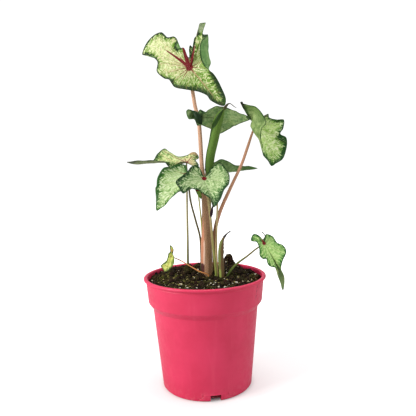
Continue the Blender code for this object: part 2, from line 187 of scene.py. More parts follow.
paper, paper_shader = new_material("white_paper")
paper_shader.inputs["Base Color"].default_value = (*PAPER_WHITE, 1.0)
paper_shader.inputs["Roughness"].default_value = 0.9
paper_shader.inputs["Emission Color"].default_value = (1.0, 1.0, 1.0, 1.0)
# The paper glows for the camera alone, more with distance, so that it runs out in white.
# The glow is nought under the pot and rises to 0.46 between 36 and 50 mm from its axis,
# which paints a soft shade round the pot's foot.
place = paper.node_tree.nodes.new("ShaderNodeTexCoord").outputs["Object"]
away = add_node(
    paper.node_tree, "ShaderNodeVectorMath", {"operation": "LENGTH"}, Vector=place)
glow = sums(paper.node_tree, "ADD", *[
    ramp(paper.node_tree, away.outputs["Value"], *stretch) for stretch in PAPER_GLOW_AND_FOOT_SHADE])
seen = paper.node_tree.nodes.new("ShaderNodeLightPath").outputs["Is Camera Ray"]
glow = sums(paper.node_tree, "MULTIPLY", seen, glow)
paper.node_tree.links.new(glow, paper_shader.inputs["Emission Strength"])
corners = np.array([(-1, -1, 0), (1, -1, 0), (1, 1, 0), (-1, 1, 0)]) * FLOOR_HALF
floor = new_piece("floor", corners, [(0, 1, 2, 3)], [paper])
world = bpy.data.worlds.new("light_tent")
world.use_nodes = True
sky = world.node_tree.nodes["Background"]
sky.inputs["Color"].default_value = (1.0, 1.0, 1.0, 1.0)
bpy.context.scene.world = world
# The camera sees the tent as pure white, and it lights the plant a little less.
seen = world.node_tree.nodes.new("ShaderNodeLightPath").outputs["Is Camera Ray"]
strength = ramp(world.node_tree, seen, 0.0, 1.0, SKY_STRENGTH, 1.1)
world.node_tree.links.new(strength, sky.inputs["Strength"])
for name, place, size, power, tint in WINDOWS:
    lamp = bpy.data.lights.new(name, "AREA")
    lamp.size = size * MM
    lamp.energy = power
    lamp.color = tint
    window = bpy.data.objects.new(name, lamp)
    bpy.context.scene.collection.objects.link(window)
    position = Matrix.Translation([value * MM for value in place]).translation
    target = Matrix.Translation((0, 0, 0.15)).translation
    window.location = position
    window.rotation_euler = (target - position).to_track_quat("-Z", "Y").to_euler()


# Pot: a 12 cm nursery pot, injection moulded in one piece of pink polypropylene, with a
# rolled lip, a band under it, a bevelled step, and drainage notches cut by the mould's
# foot. Satin skin with faint flow streaks, and one old scratch on the band.
POT_HEIGHT = 108.7
LIP_RADIUS = 60.0
LIP_HEIGHT = 2.6
BAND_TOP_RADIUS = 57.8
BAND_FOOT_RADIUS = 55.9
BAND_FOOT_HEIGHT = 85.0
STEP_RADIUS = 51.6
STEP_HEIGHT = 79.0
FOOT_RADIUS = 44.0
WALL = 1.6
FLOOR_RECESS = 2.0
FLOOR_THICKNESS = 1.6
FOOT_RING_RADIUS = 37.0
CENTRE_PAD_RADIUS = 16.0
NOTCH_COUNT = 3
NOTCH_WIDTH = 10.0
NOTCH_HEIGHT = 6.2
NOTCH_DEPTH = 9.0
NOTCH_BEARING = 10.0
PANEL_WIDTH = 8.5
PANEL_RISE = 0.45


def skin(name, rings, first, last, materials, band_materials=None, fields=None):
    """A closed surface from rings of points: each ring is joined to the next by a band of
    quads, and one point closes each end by a fan. Faces are turned to point outwards."""
    count, around = rings.shape[:2]
    places = np.vstack([rings.reshape(-1, 3), [first], [last]])
    here = np.arange(around)
    after = (here + 1) % around
    base = np.arange(count - 1)[:, None] * around
    quads = np.stack(
        [base + here, base + after, base + around + after, base + around + here], 2)
    quads = quads.reshape(-1, 4)
    start = np.stack([np.full(around, count * around), after, here], 1)
    final = (count - 1) * around
    end = np.stack([np.full(around, count * around + 1), final + here, final + after], 1)
    halves = np.vstack([quads[:, [0, 1, 2]], quads[:, [0, 2, 3]], start, end])
    a, b, c = (places[halves[:, k]] for k in range(3))
    if np.einsum("ij,ij->", a, np.cross(b, c)) < 0:
        quads, start, end = quads[:, ::-1], start[:, ::-1], end[:, ::-1]
    faces = quads.tolist() + start.tolist() + end.tolist()
    chosen = None
    if band_materials is not None:
        bands = np.repeat(band_materials, around)
        caps = [band_materials[0]] * around + [band_materials[-1]] * around
        chosen = np.concatenate([bands, caps])
    return new_piece(name, places, faces, materials, chosen, fields)


def rounded(points, radius, steps=5):
    """A profile whose inner corners are rounded: each becomes a curve that leaves and
    joins its two sides at the radius, or at a third of a shorter side."""
    points = np.asarray(points, float)
    parts = [points[:1]]
    for before, corner, after in zip(points[:-2], points[1:-1], points[2:]):
        to_before, to_after = before - corner, after - corner
        reach = min(
            radius, np.linalg.norm(to_before) / 3, np.linalg.norm(to_after) / 3)
        start = corner + to_before / np.linalg.norm(to_before) * reach
        end = corner + to_after / np.linalg.norm(to_after) * reach
        u = np.linspace(0, 1, steps)[:, None]
        parts.append((1 - u) ** 2 * start + 2 * u * (1 - u) * corner + u**2 * end)
    parts.append(points[-1:])
    return np.vstack(parts)


def inner_radius(height):
    """The pot's inner radius at a height: its outer wall less the wall's thickness."""
    heights = (0, STEP_HEIGHT, BAND_FOOT_HEIGHT, POT_HEIGHT)
    radii = (FOOT_RADIUS, STEP_RADIUS, BAND_FOOT_RADIUS, BAND_TOP_RADIUS)
    return np.interp(height, heights, radii) - WALL


def filled_in(profile, longest):
    """A profile with points added along its sides, so that none is over the longest."""
    lengths = np.linalg.norm(np.diff(profile, axis=0), axis=1)
    parts = [
        start + (end - start) * (np.arange(n) / n)[:, None]
        for start, end, n in zip(
            profile[:-1], profile[1:], np.ceil(lengths / longest).astype(int))]
    return np.vstack(parts + [profile[-1:]])


def pot_material():
    """Satin pink plastic: a little paler where light plays, faint upright flow streaks,
    fine orange-peel relief, a dark hairline scratch on the band and dust by the foot."""
    material, shader = new_material("pink_plastic")
    tree = material.node_tree
    place = millimetres(tree)
    parts = add_node(tree, "ShaderNodeSeparateXYZ", Vector=place).outputs
    bearing = sums(tree, "ARCTAN2", parts["X"], sums(tree, "MULTIPLY", parts["Y"], -1.0))
    turn = sums(tree, "MULTIPLY", bearing, 180 / math.pi)
    flow = add_node(
        tree, "ShaderNodeVectorMath", {"operation": "MULTIPLY"}, input_0=place,
        input_1=(0.16, 0.16, 0.012)).outputs[0]
    streaks = grain(tree, flow, 1.0, 3.0)
    clouds = grain(tree, place, 0.035, 3.0)
    tone = blend(tree, ramp(tree, clouds, 0.3, 0.7), colour(212, 42, 82), colour(222, 50, 92))
    tone = blend(
        tree, ramp(tree, streaks, 0.52, 0.75, 0.0, 0.16), tone, colour(236, 84, 116))
    lean = sums(tree, "MULTIPLY_ADD", parts["Z"], 0.135, 43.5)
    scratch = ramp(tree, sums(tree, "ABSOLUTE", sums(tree, "SUBTRACT", turn, lean)), 0.5, 0.9,
                   1.0, 0.0)
    on_band = sums(
        tree, "MULTIPLY", ramp(tree, parts["Z"], 90.0, 94.0), ramp(tree, parts["Z"], 105.2, 105.8, 1.0, 0.0))
    worn = sums(tree, "MULTIPLY", ramp(tree, grain(tree, place, 0.5), 0.35, 0.55), on_band)
    scratch = sums(tree, "MULTIPLY", scratch, worn)
    tone = blend(tree, sums(tree, "MULTIPLY", scratch, 0.7), tone, colour(130, 24, 48))
    dust = sums(
        tree, "MULTIPLY", ramp(tree, parts["Z"], 1.0, 16.0, 1.0, 0.0),
        ramp(tree, grain(tree, place, 0.22, 4.0), 0.45, 0.7))
    tone = blend(tree, sums(tree, "MULTIPLY", dust, 0.22), tone, colour(226, 128, 140))
    tree.links.new(tone, shader.inputs["Base Color"])
    roughness = ramp(tree, grain(tree, place, 0.3, 4.0), 0.3, 0.7, 0.36, 0.5)
    tree.links.new(roughness, shader.inputs["Roughness"])
    shader.inputs["Specular IOR Level"].default_value = 0.45
    peel = grain(tree, place, 1.7, 2.0)
    relief = sums(tree, "MULTIPLY_ADD", scratch, -2.0, peel)
    set_bump(tree, shader, relief, 0.00004)
    return material


def pot_rings():
    """Rings of the pot from the floor's middle, up the inside, over the lip and down to
    the centre pad. Bearings lie close together round the notches. Beside each notch the
    foot carries a raised panel with an S-shaped end and three fine ribs."""
    floor_top = FLOOR_RECESS + FLOOR_THICKNESS
    lip_foot = POT_HEIGHT - LIP_HEIGHT
    inside = [
        (1, floor_top), (inner_radius(floor_top), floor_top),
        (inner_radius(STEP_HEIGHT), STEP_HEIGHT),
        (inner_radius(BAND_FOOT_HEIGHT), BAND_FOOT_HEIGHT),
        (inner_radius(POT_HEIGHT), POT_HEIGHT - 1.2)]
    angles = np.radians(np.linspace(170, 10, 9))
    lip_middle = (inner_radius(POT_HEIGHT) + LIP_RADIUS) / 2
    lip_half = (LIP_RADIUS - inner_radius(POT_HEIGHT)) / 2
    over = [
        (lip_middle + lip_half * math.cos(a), POT_HEIGHT - 1.2 + 1.2 * math.sin(a))
        for a in angles]
    outside = [
        (LIP_RADIUS, POT_HEIGHT - 1.4), (LIP_RADIUS - 0.1, lip_foot + 0.4),
        (LIP_RADIUS - 1.1, lip_foot), (BAND_TOP_RADIUS + 0.05, lip_foot - 0.1),
        (BAND_TOP_RADIUS - 0.1, lip_foot - 1.5), (BAND_TOP_RADIUS + 0.12, lip_foot - 1.9),
        (BAND_TOP_RADIUS - 0.15, lip_foot - 2.3),
        (BAND_FOOT_RADIUS, BAND_FOOT_HEIGHT), (BAND_FOOT_RADIUS - 0.5, BAND_FOOT_HEIGHT - 1),
        (STEP_RADIUS, STEP_HEIGHT), (FOOT_RADIUS + 0.12, 1.2), (FOOT_RADIUS - 0.9, 0),
        (FOOT_RING_RADIUS, 0), (FOOT_RING_RADIUS - 0.5, FLOOR_RECESS),
        (CENTRE_PAD_RADIUS + 0.5, FLOOR_RECESS), (CENTRE_PAD_RADIUS, 0), (1, 0)]
    profile = filled_in(rounded(inside + over + outside, 0.7), 3.0)
    beyond_lip = np.arange(len(profile)) > profile[:, 0].argmax()
    low = beyond_lip & (profile[:, 0] > FOOT_RADIUS - 1) & (profile[:, 1] > 0.4)
    low &= profile[:, 1] < 16
    keep = np.flatnonzero(~low)
    foot_start = np.flatnonzero(low)[0]
    heights = np.arange(15.6, 0.8, -0.4)
    wall = FOOT_RADIUS + (STEP_RADIUS - FOOT_RADIUS) * heights / STEP_HEIGHT
    profile = np.vstack([
        profile[keep[keep < foot_start]], np.stack([wall, heights], 1),
        profile[keep[keep > foot_start]]])
    half_turn = 180 / NOTCH_COUNT
    dense = np.linspace(-20, 20, 81)
    sparse = np.linspace(20, 2 * half_turn - 20, 34)[1:-1]
    one = np.concatenate([dense, sparse])
    bearings = np.concatenate([
        NOTCH_BEARING + one + number * 2 * half_turn for number in range(NOTCH_COUNT)])
    radius, height = profile[:, 0][:, None], profile[:, 1][:, None]
    aside = (bearings - NOTCH_BEARING + half_turn) % (2 * half_turn) - half_turn
    aside = np.radians(aside)[None] * FOOT_RADIUS
    edge = NOTCH_WIDTH / 2 + PANEL_WIDTH - 2.2 * np.tanh((height - 3.8) / 1.2)
    beyond = np.abs(aside) - edge
    panel = 0.5 - 0.5 * np.tanh(beyond / 0.35)
    panel *= 0.5 - 0.5 * np.tanh((height - 7.4) / 0.4)
    ridge = np.exp(-((beyond - 0.9) / 0.5) ** 2) * (0.5 - 0.5 * np.tanh((height - 7.8) / 0.5))
    groove = np.exp(-((beyond - 0.1) / 0.45) ** 2) * (0.5 - 0.5 * np.tanh((height - 7.2) / 0.5))
    ribs = 0.12 * np.cos(height * 2 * math.pi / 2.0) * panel
    outer = np.clip((radius - (FOOT_RADIUS - 0.3)) / 0.3, 0, 1) * (height < 16)
    rise = outer * (PANEL_RISE * (panel * 0.6 + ridge * 0.8 - groove * 1.1) + ribs)
    reach = radius + rise
    turn = np.radians(bearings)[None]
    high = np.broadcast_to(height, reach.shape)
    return np.stack([reach * np.sin(turn), -reach * np.cos(turn), high], 2)


def cut_notches(piece):
    """Cut the drainage notches out of the pot's foot by boxes, and keep the result."""
    for number in range(NOTCH_COUNT):
        bearing = math.radians(NOTCH_BEARING + number * 360 / NOTCH_COUNT)
        middle = FOOT_RADIUS + 2 - NOTCH_DEPTH / 2
        half = np.array((NOTCH_WIDTH / 2, NOTCH_DEPTH / 2, NOTCH_HEIGHT))
        ring = np.array([(-1, -1), (1, -1), (1, 1), (-1, 1)])
        box = np.vstack([np.c_[ring, -np.ones(4)], np.c_[ring, np.ones(4)]]) * half
        box[:, 1] -= middle
        spin = np.array([
            (math.cos(bearing), math.sin(bearing), 0),
            (-math.sin(bearing), math.cos(bearing), 0), (0, 0, 1)])
        sides = [(0, 3, 2, 1), (4, 5, 6, 7)]
        sides += [(i, (i + 1) % 4, (i + 1) % 4 + 4, i + 4) for i in range(4)]
        cutter = new_piece("notch_cutter", box @ spin, sides, [])
        cut = piece.modifiers.new("Notch", "BOOLEAN")
        cut.operation = "DIFFERENCE"
        cut.object = cutter
        state = bpy.context.evaluated_depsgraph_get()
        made = bpy.data.meshes.new_from_object(piece.evaluated_get(state))
        piece.modifiers.clear()
        piece.data = made
        bpy.data.objects.remove(cutter)
    piece.data.shade_smooth()
    piece.data.set_sharp_from_angle(angle=math.radians(38))


pot = skin(
    "nursery_pot", pot_rings(), (0, 0, FLOOR_RECESS + FLOOR_THICKNESS), (0, 0, 0),
    [pot_material()])
cut_notches(pot)
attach(pot, "root")
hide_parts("pot")


# Soil: moist black peat with perlite, pressed in by hand and mounded round the stems.
# The body is a turned mass with a broken top; loose peat crumbs, white perlite grains,
# green moss flecks and bits of root and bark lie on it.
SOIL_EDGE_HEIGHT = 103.5
SOIL_MOUND = 3.5
SOIL_BACK_SLOPE = 0.05
SOIL_LUMP_SPACING = 13.0
SOIL_LUMP_RISE = 1.2
SOIL_LUMP_TURN = 0.4
SOIL_GAP = 0.3
SOIL_CLUMPS = ((-17.0, 15.0, 7.0, 7.5), (26.0, 43.0, 9.0, 12.5), (-27.0, -22.0, 12.0, 1.5))
SOIL_SEED = 11
# Where loose bits gather, as (across, away, spread): the clumps, the dry patches left of
# the stem and at the right, and the front along the rim.
HEAPS = ((-17.0, 15.0, 3.0), (26.0, 43.0, 4.0))
DRY_PATCHES = ((-18.0, -22.0, 9.0), (2.0, -28.0, 8.0), (40.0, -14.0, 7.0), (-40.0, 0.0, 7.0))
FRONT = ((-33.0, -40.0, 5.0), (-12.0, -47.0, 8.0), (16.0, -46.0, 8.0), (36.0, -32.0, 7.0))
LOOSE_BITS = (
    ("peat_crumbs", 1700, (0.9, 3.2), 0.8, 0.12, HEAPS, 21),
    ("perlite_grains", 460, (0.4, 1.7), 0.85, 0.35, FRONT, 22),
    ("moss_flecks", 700, (0.6, 2.0), 0.6, 0.55, DRY_PATCHES, 23),
    ("straw_bits", 620, (0.4, 1.8), 0.45, 0.65, DRY_PATCHES, 24),
)


def soil_height(across, away):
    """Height of the soil: a low mound that is fuller at the back, waves, lumps in
    staggered rows, the clumps, and a seeded sum of forty plane waves 2 to 8 mm long that
    breaks the lumps up."""
    out = np.hypot(across, away) / inner_radius(SOIL_EDGE_HEIGHT)
    height = SOIL_EDGE_HEIGHT + SOIL_MOUND * np.maximum(0.0, 1 - out * out)
    height = height + SOIL_BACK_SLOPE * np.maximum(0.0, away)
    height = height + 0.8 * (
        np.sin(across / 7.0 + 1.3) * np.cos(away / 8.5)
        + 0.6 * np.sin(across / 3.9 - away / 4.7 + 0.4))
    along = across * math.cos(SOIL_LUMP_TURN) + away * math.sin(SOIL_LUMP_TURN)
    aside = away * math.cos(SOIL_LUMP_TURN) - across * math.sin(SOIL_LUMP_TURN)
    phase = 2 * math.pi / SOIL_LUMP_SPACING
    height = height + SOIL_LUMP_RISE * np.cos(along * phase) * np.cos(aside * phase)
    for clump_across, clump_away, radius, rise in SOIL_CLUMPS:
        apart = np.hypot(across - clump_across, away - clump_away) / radius
        height = height + rise * np.exp(-2 * apart * apart)
    draw = np.random.default_rng(SOIL_SEED)
    lengths = draw.uniform(2.0, 8.0, 40)
    bearings = draw.uniform(0, 2 * math.pi, 40)
    starts = draw.uniform(0, 2 * math.pi, 40)
    phase = (
        np.multiply.outer(across, np.cos(bearings) / lengths)
        + np.multiply.outer(away, np.sin(bearings) / lengths)) * 2 * math.pi + starts
    lumps = (np.sin(phase) * lengths).sum(-1) * 0.022
    return height + np.minimum(lumps, 1.6)


def soil_rings():
    """Rings of the soil from the middle of its top, out to the wall and down inside it."""
    bottom = FLOOR_RECESS + FLOOR_THICKNESS + SOIL_GAP
    turn = np.linspace(0, 2 * math.pi, 300, endpoint=False)
    outer = inner_radius(SOIL_EDGE_HEIGHT) - SOIL_GAP
    radius = np.linspace(0.6, outer, 80)[:, None]
    across, away = radius * np.sin(turn), -radius * np.cos(turn)
    top = np.stack([across, away, soil_height(across, away)], 2)
    depths = np.array((99.0, BAND_FOOT_HEIGHT, STEP_HEIGHT, 40.0, bottom, bottom))[:, None]
    wall = inner_radius(depths) - SOIL_GAP
    wall[-1] = 1.0
    side = np.stack([
        wall * np.sin(turn), -wall * np.cos(turn), np.broadcast_to(depths, (6, 300))], 2)
    return np.concatenate([top, side])


def peat_material(name, dark, light, share, roughness=0.93):
    """Moist peat: dark fibres with paler dry ones, matt, with fine broken relief."""
    material, shader = new_material(name)
    tree = material.node_tree
    place = millimetres(tree)
    cells = grain(tree, place, 0.9, 6.0)
    tone = blend(tree, ramp(tree, cells, 0.42, 0.72), colour(*dark), colour(*light))
    green = ramp(tree, grain(tree, place, 0.13, 3.0), 0.48, 0.64)
    tone = blend(tree, sums(tree, "MULTIPLY", green, share), tone, colour(84, 84, 34))
    red = ramp(tree, grain(tree, place, 0.09, 2.0), 0.46, 0.3)
    tone = blend(tree, sums(tree, "MULTIPLY", red, share), tone, colour(58, 22, 18))
    tree.links.new(tone, shader.inputs["Base Color"])
    shader.inputs["Roughness"].default_value = roughness
    shader.inputs["Specular IOR Level"].default_value = 0.15
    set_bump(tree, shader, grain(tree, place, 1.6, 6.0), 0.0009)
    return material


def scattered(name, count, sizes, flatness, share, heaps, seed, material, lift=0.15):
    """Many small lumps in one mesh, each an icosahedron stretched, dented and turned by
    seeded draws. It lies on the soil where a seeded draw puts it, and a share of all
    lumps lies in the heaps."""
    draw = np.random.default_rng(seed)
    golden = (1 + 5**0.5) / 2
    flat = np.array([(a, b * golden) for a in (-1, 1) for b in (-1, 1)])
    zeros = np.zeros((4, 1))
    corners = np.vstack([
        np.hstack([zeros, flat]), np.hstack([flat, zeros]),
        np.hstack([flat[:, 1:], zeros, flat[:, :1]])]) / math.hypot(1, golden)
    gaps = np.linalg.norm(corners[:, None] - corners, axis=2)
    near = (gaps > 0.1) & (gaps < 1.1)
    sides = np.array([
        (i, j, k) for i in range(12) for j in range(i + 1, 12) for k in range(j + 1, 12)
        if near[i, j] and near[j, k] and near[i, k]])
    a, b, c = (corners[sides[:, k]] for k in range(3))
    inward = np.einsum("ij,ij->i", a, np.cross(b, c)) < 0
    sides[inward] = sides[inward][:, ::-1]
    size = draw.uniform(0, 1, count) ** 2.2 * (sizes[1] - sizes[0]) + sizes[0]
    shape = draw.uniform(0.65, 1.25, (count, 1, 3)) * size[:, None, None]
    lumps = corners * draw.uniform(0.78, 1.18, (count, 12, 1)) * shape
    first, second, third = draw.uniform(0, 2 * math.pi, (3, count))
    for turn, (one, other) in ((first, (0, 1)), (second, (1, 2)), (third, (0, 1))):
        cosine, sine = np.cos(turn)[:, None], np.sin(turn)[:, None]
        x, y = lumps[:, :, one].copy(), lumps[:, :, other].copy()
        lumps[:, :, one] = x * cosine - y * sine
        lumps[:, :, other] = x * sine + y * cosine
    lumps[:, :, 2] *= flatness
    room = inner_radius(SOIL_EDGE_HEIGHT) - 1.0 - size * 1.2
    radius = np.sqrt(draw.uniform(0, 1, count)) * room
    bearing = draw.uniform(0, 2 * math.pi, count)
    across, away = radius * np.sin(bearing), -radius * np.cos(bearing)
    heaped = draw.uniform(0, 1, count) < share
    heap = np.array(heaps)[draw.integers(0, len(heaps), count)]
    spread = draw.normal(0, 1, (count, 2)) * heap[:, 2:3]
    across = np.where(heaped, heap[:, 0] + spread[:, 0], across)
    away = np.where(heaped, heap[:, 1] + spread[:, 1], away)
    inwards = np.minimum(1, room / np.maximum(np.hypot(across, away), 1e-6))
    across, away = across * inwards, away * inwards
    centre = np.stack([across, away, soil_height(across, away) + size * lift], 1)
    places = (lumps + centre[:, None]).reshape(-1, 3)
    faces = (sides[None] + 12 * np.arange(count)[:, None, None]).reshape(-1, 3)
    return new_piece(name, places, faces.tolist(), [material])


def perlite_material():
    """Perlite: brittle white glass foam, chalky, stained cream and grey by the peat."""
    material, shader = new_material("perlite")
    tree = material.node_tree
    place = millimetres(tree)
    stain = ramp(tree, grain(tree, place, 0.35, 3.0), 0.35, 0.7)
    tone = blend(tree, stain, colour(244, 240, 224), colour(190, 178, 128))
    pores = ramp(tree, grain(tree, place, 3.0, 3.0), 0.5, 0.62)
    tone = blend(tree, sums(tree, "MULTIPLY", pores, 0.35), tone, colour(120, 108, 84))
    tree.links.new(tone, shader.inputs["Base Color"])
    shader.inputs["Roughness"].default_value = 0.85
    set_bump(tree, shader, grain(tree, place, 3.0, 3.0), 0.0003)
    return material


soil = skin(
    "soil_mass", soil_rings(), (0, 0, float(soil_height(np.zeros(1), np.zeros(1))[0])),
    (0, 0, FLOOR_RECESS + FLOOR_THICKNESS + SOIL_GAP),
    [peat_material("peat", (12, 8, 6), (46, 34, 24), 0.35)])
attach(soil, "root")
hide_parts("soil")
bit_materials = {
    "peat_crumbs": peat_material("peat_crumb", (10, 6, 5), (78, 58, 38), 0.35),
    "perlite_grains": perlite_material(),
    "moss_flecks": peat_material("moss", (54, 56, 18), (124, 122, 54), 0.2),
    "straw_bits": peat_material("straw", (136, 124, 66), (222, 208, 142), 0.1),
}
for name, *how in LOOSE_BITS:
    bits = scattered(name, *how, bit_materials[name])
    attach(bits, "root")


# Leaves: thin, slightly quilted blades that grew from the corm, each held at a joint
# above its two back lobes. Cream in the middle, mottled green outwards, with a dark
# green margin and crimson main veins; the underside is a dull grey-green.
BLADE_HALF_THICKNESS = 0.26
EDGE_SPACING = 0.8
BLADE_RINGS = 30
RISE_NEAR_JOINT = 0.35
VEIN_SPACING = 6.5
RAY_SPACING = 0.2

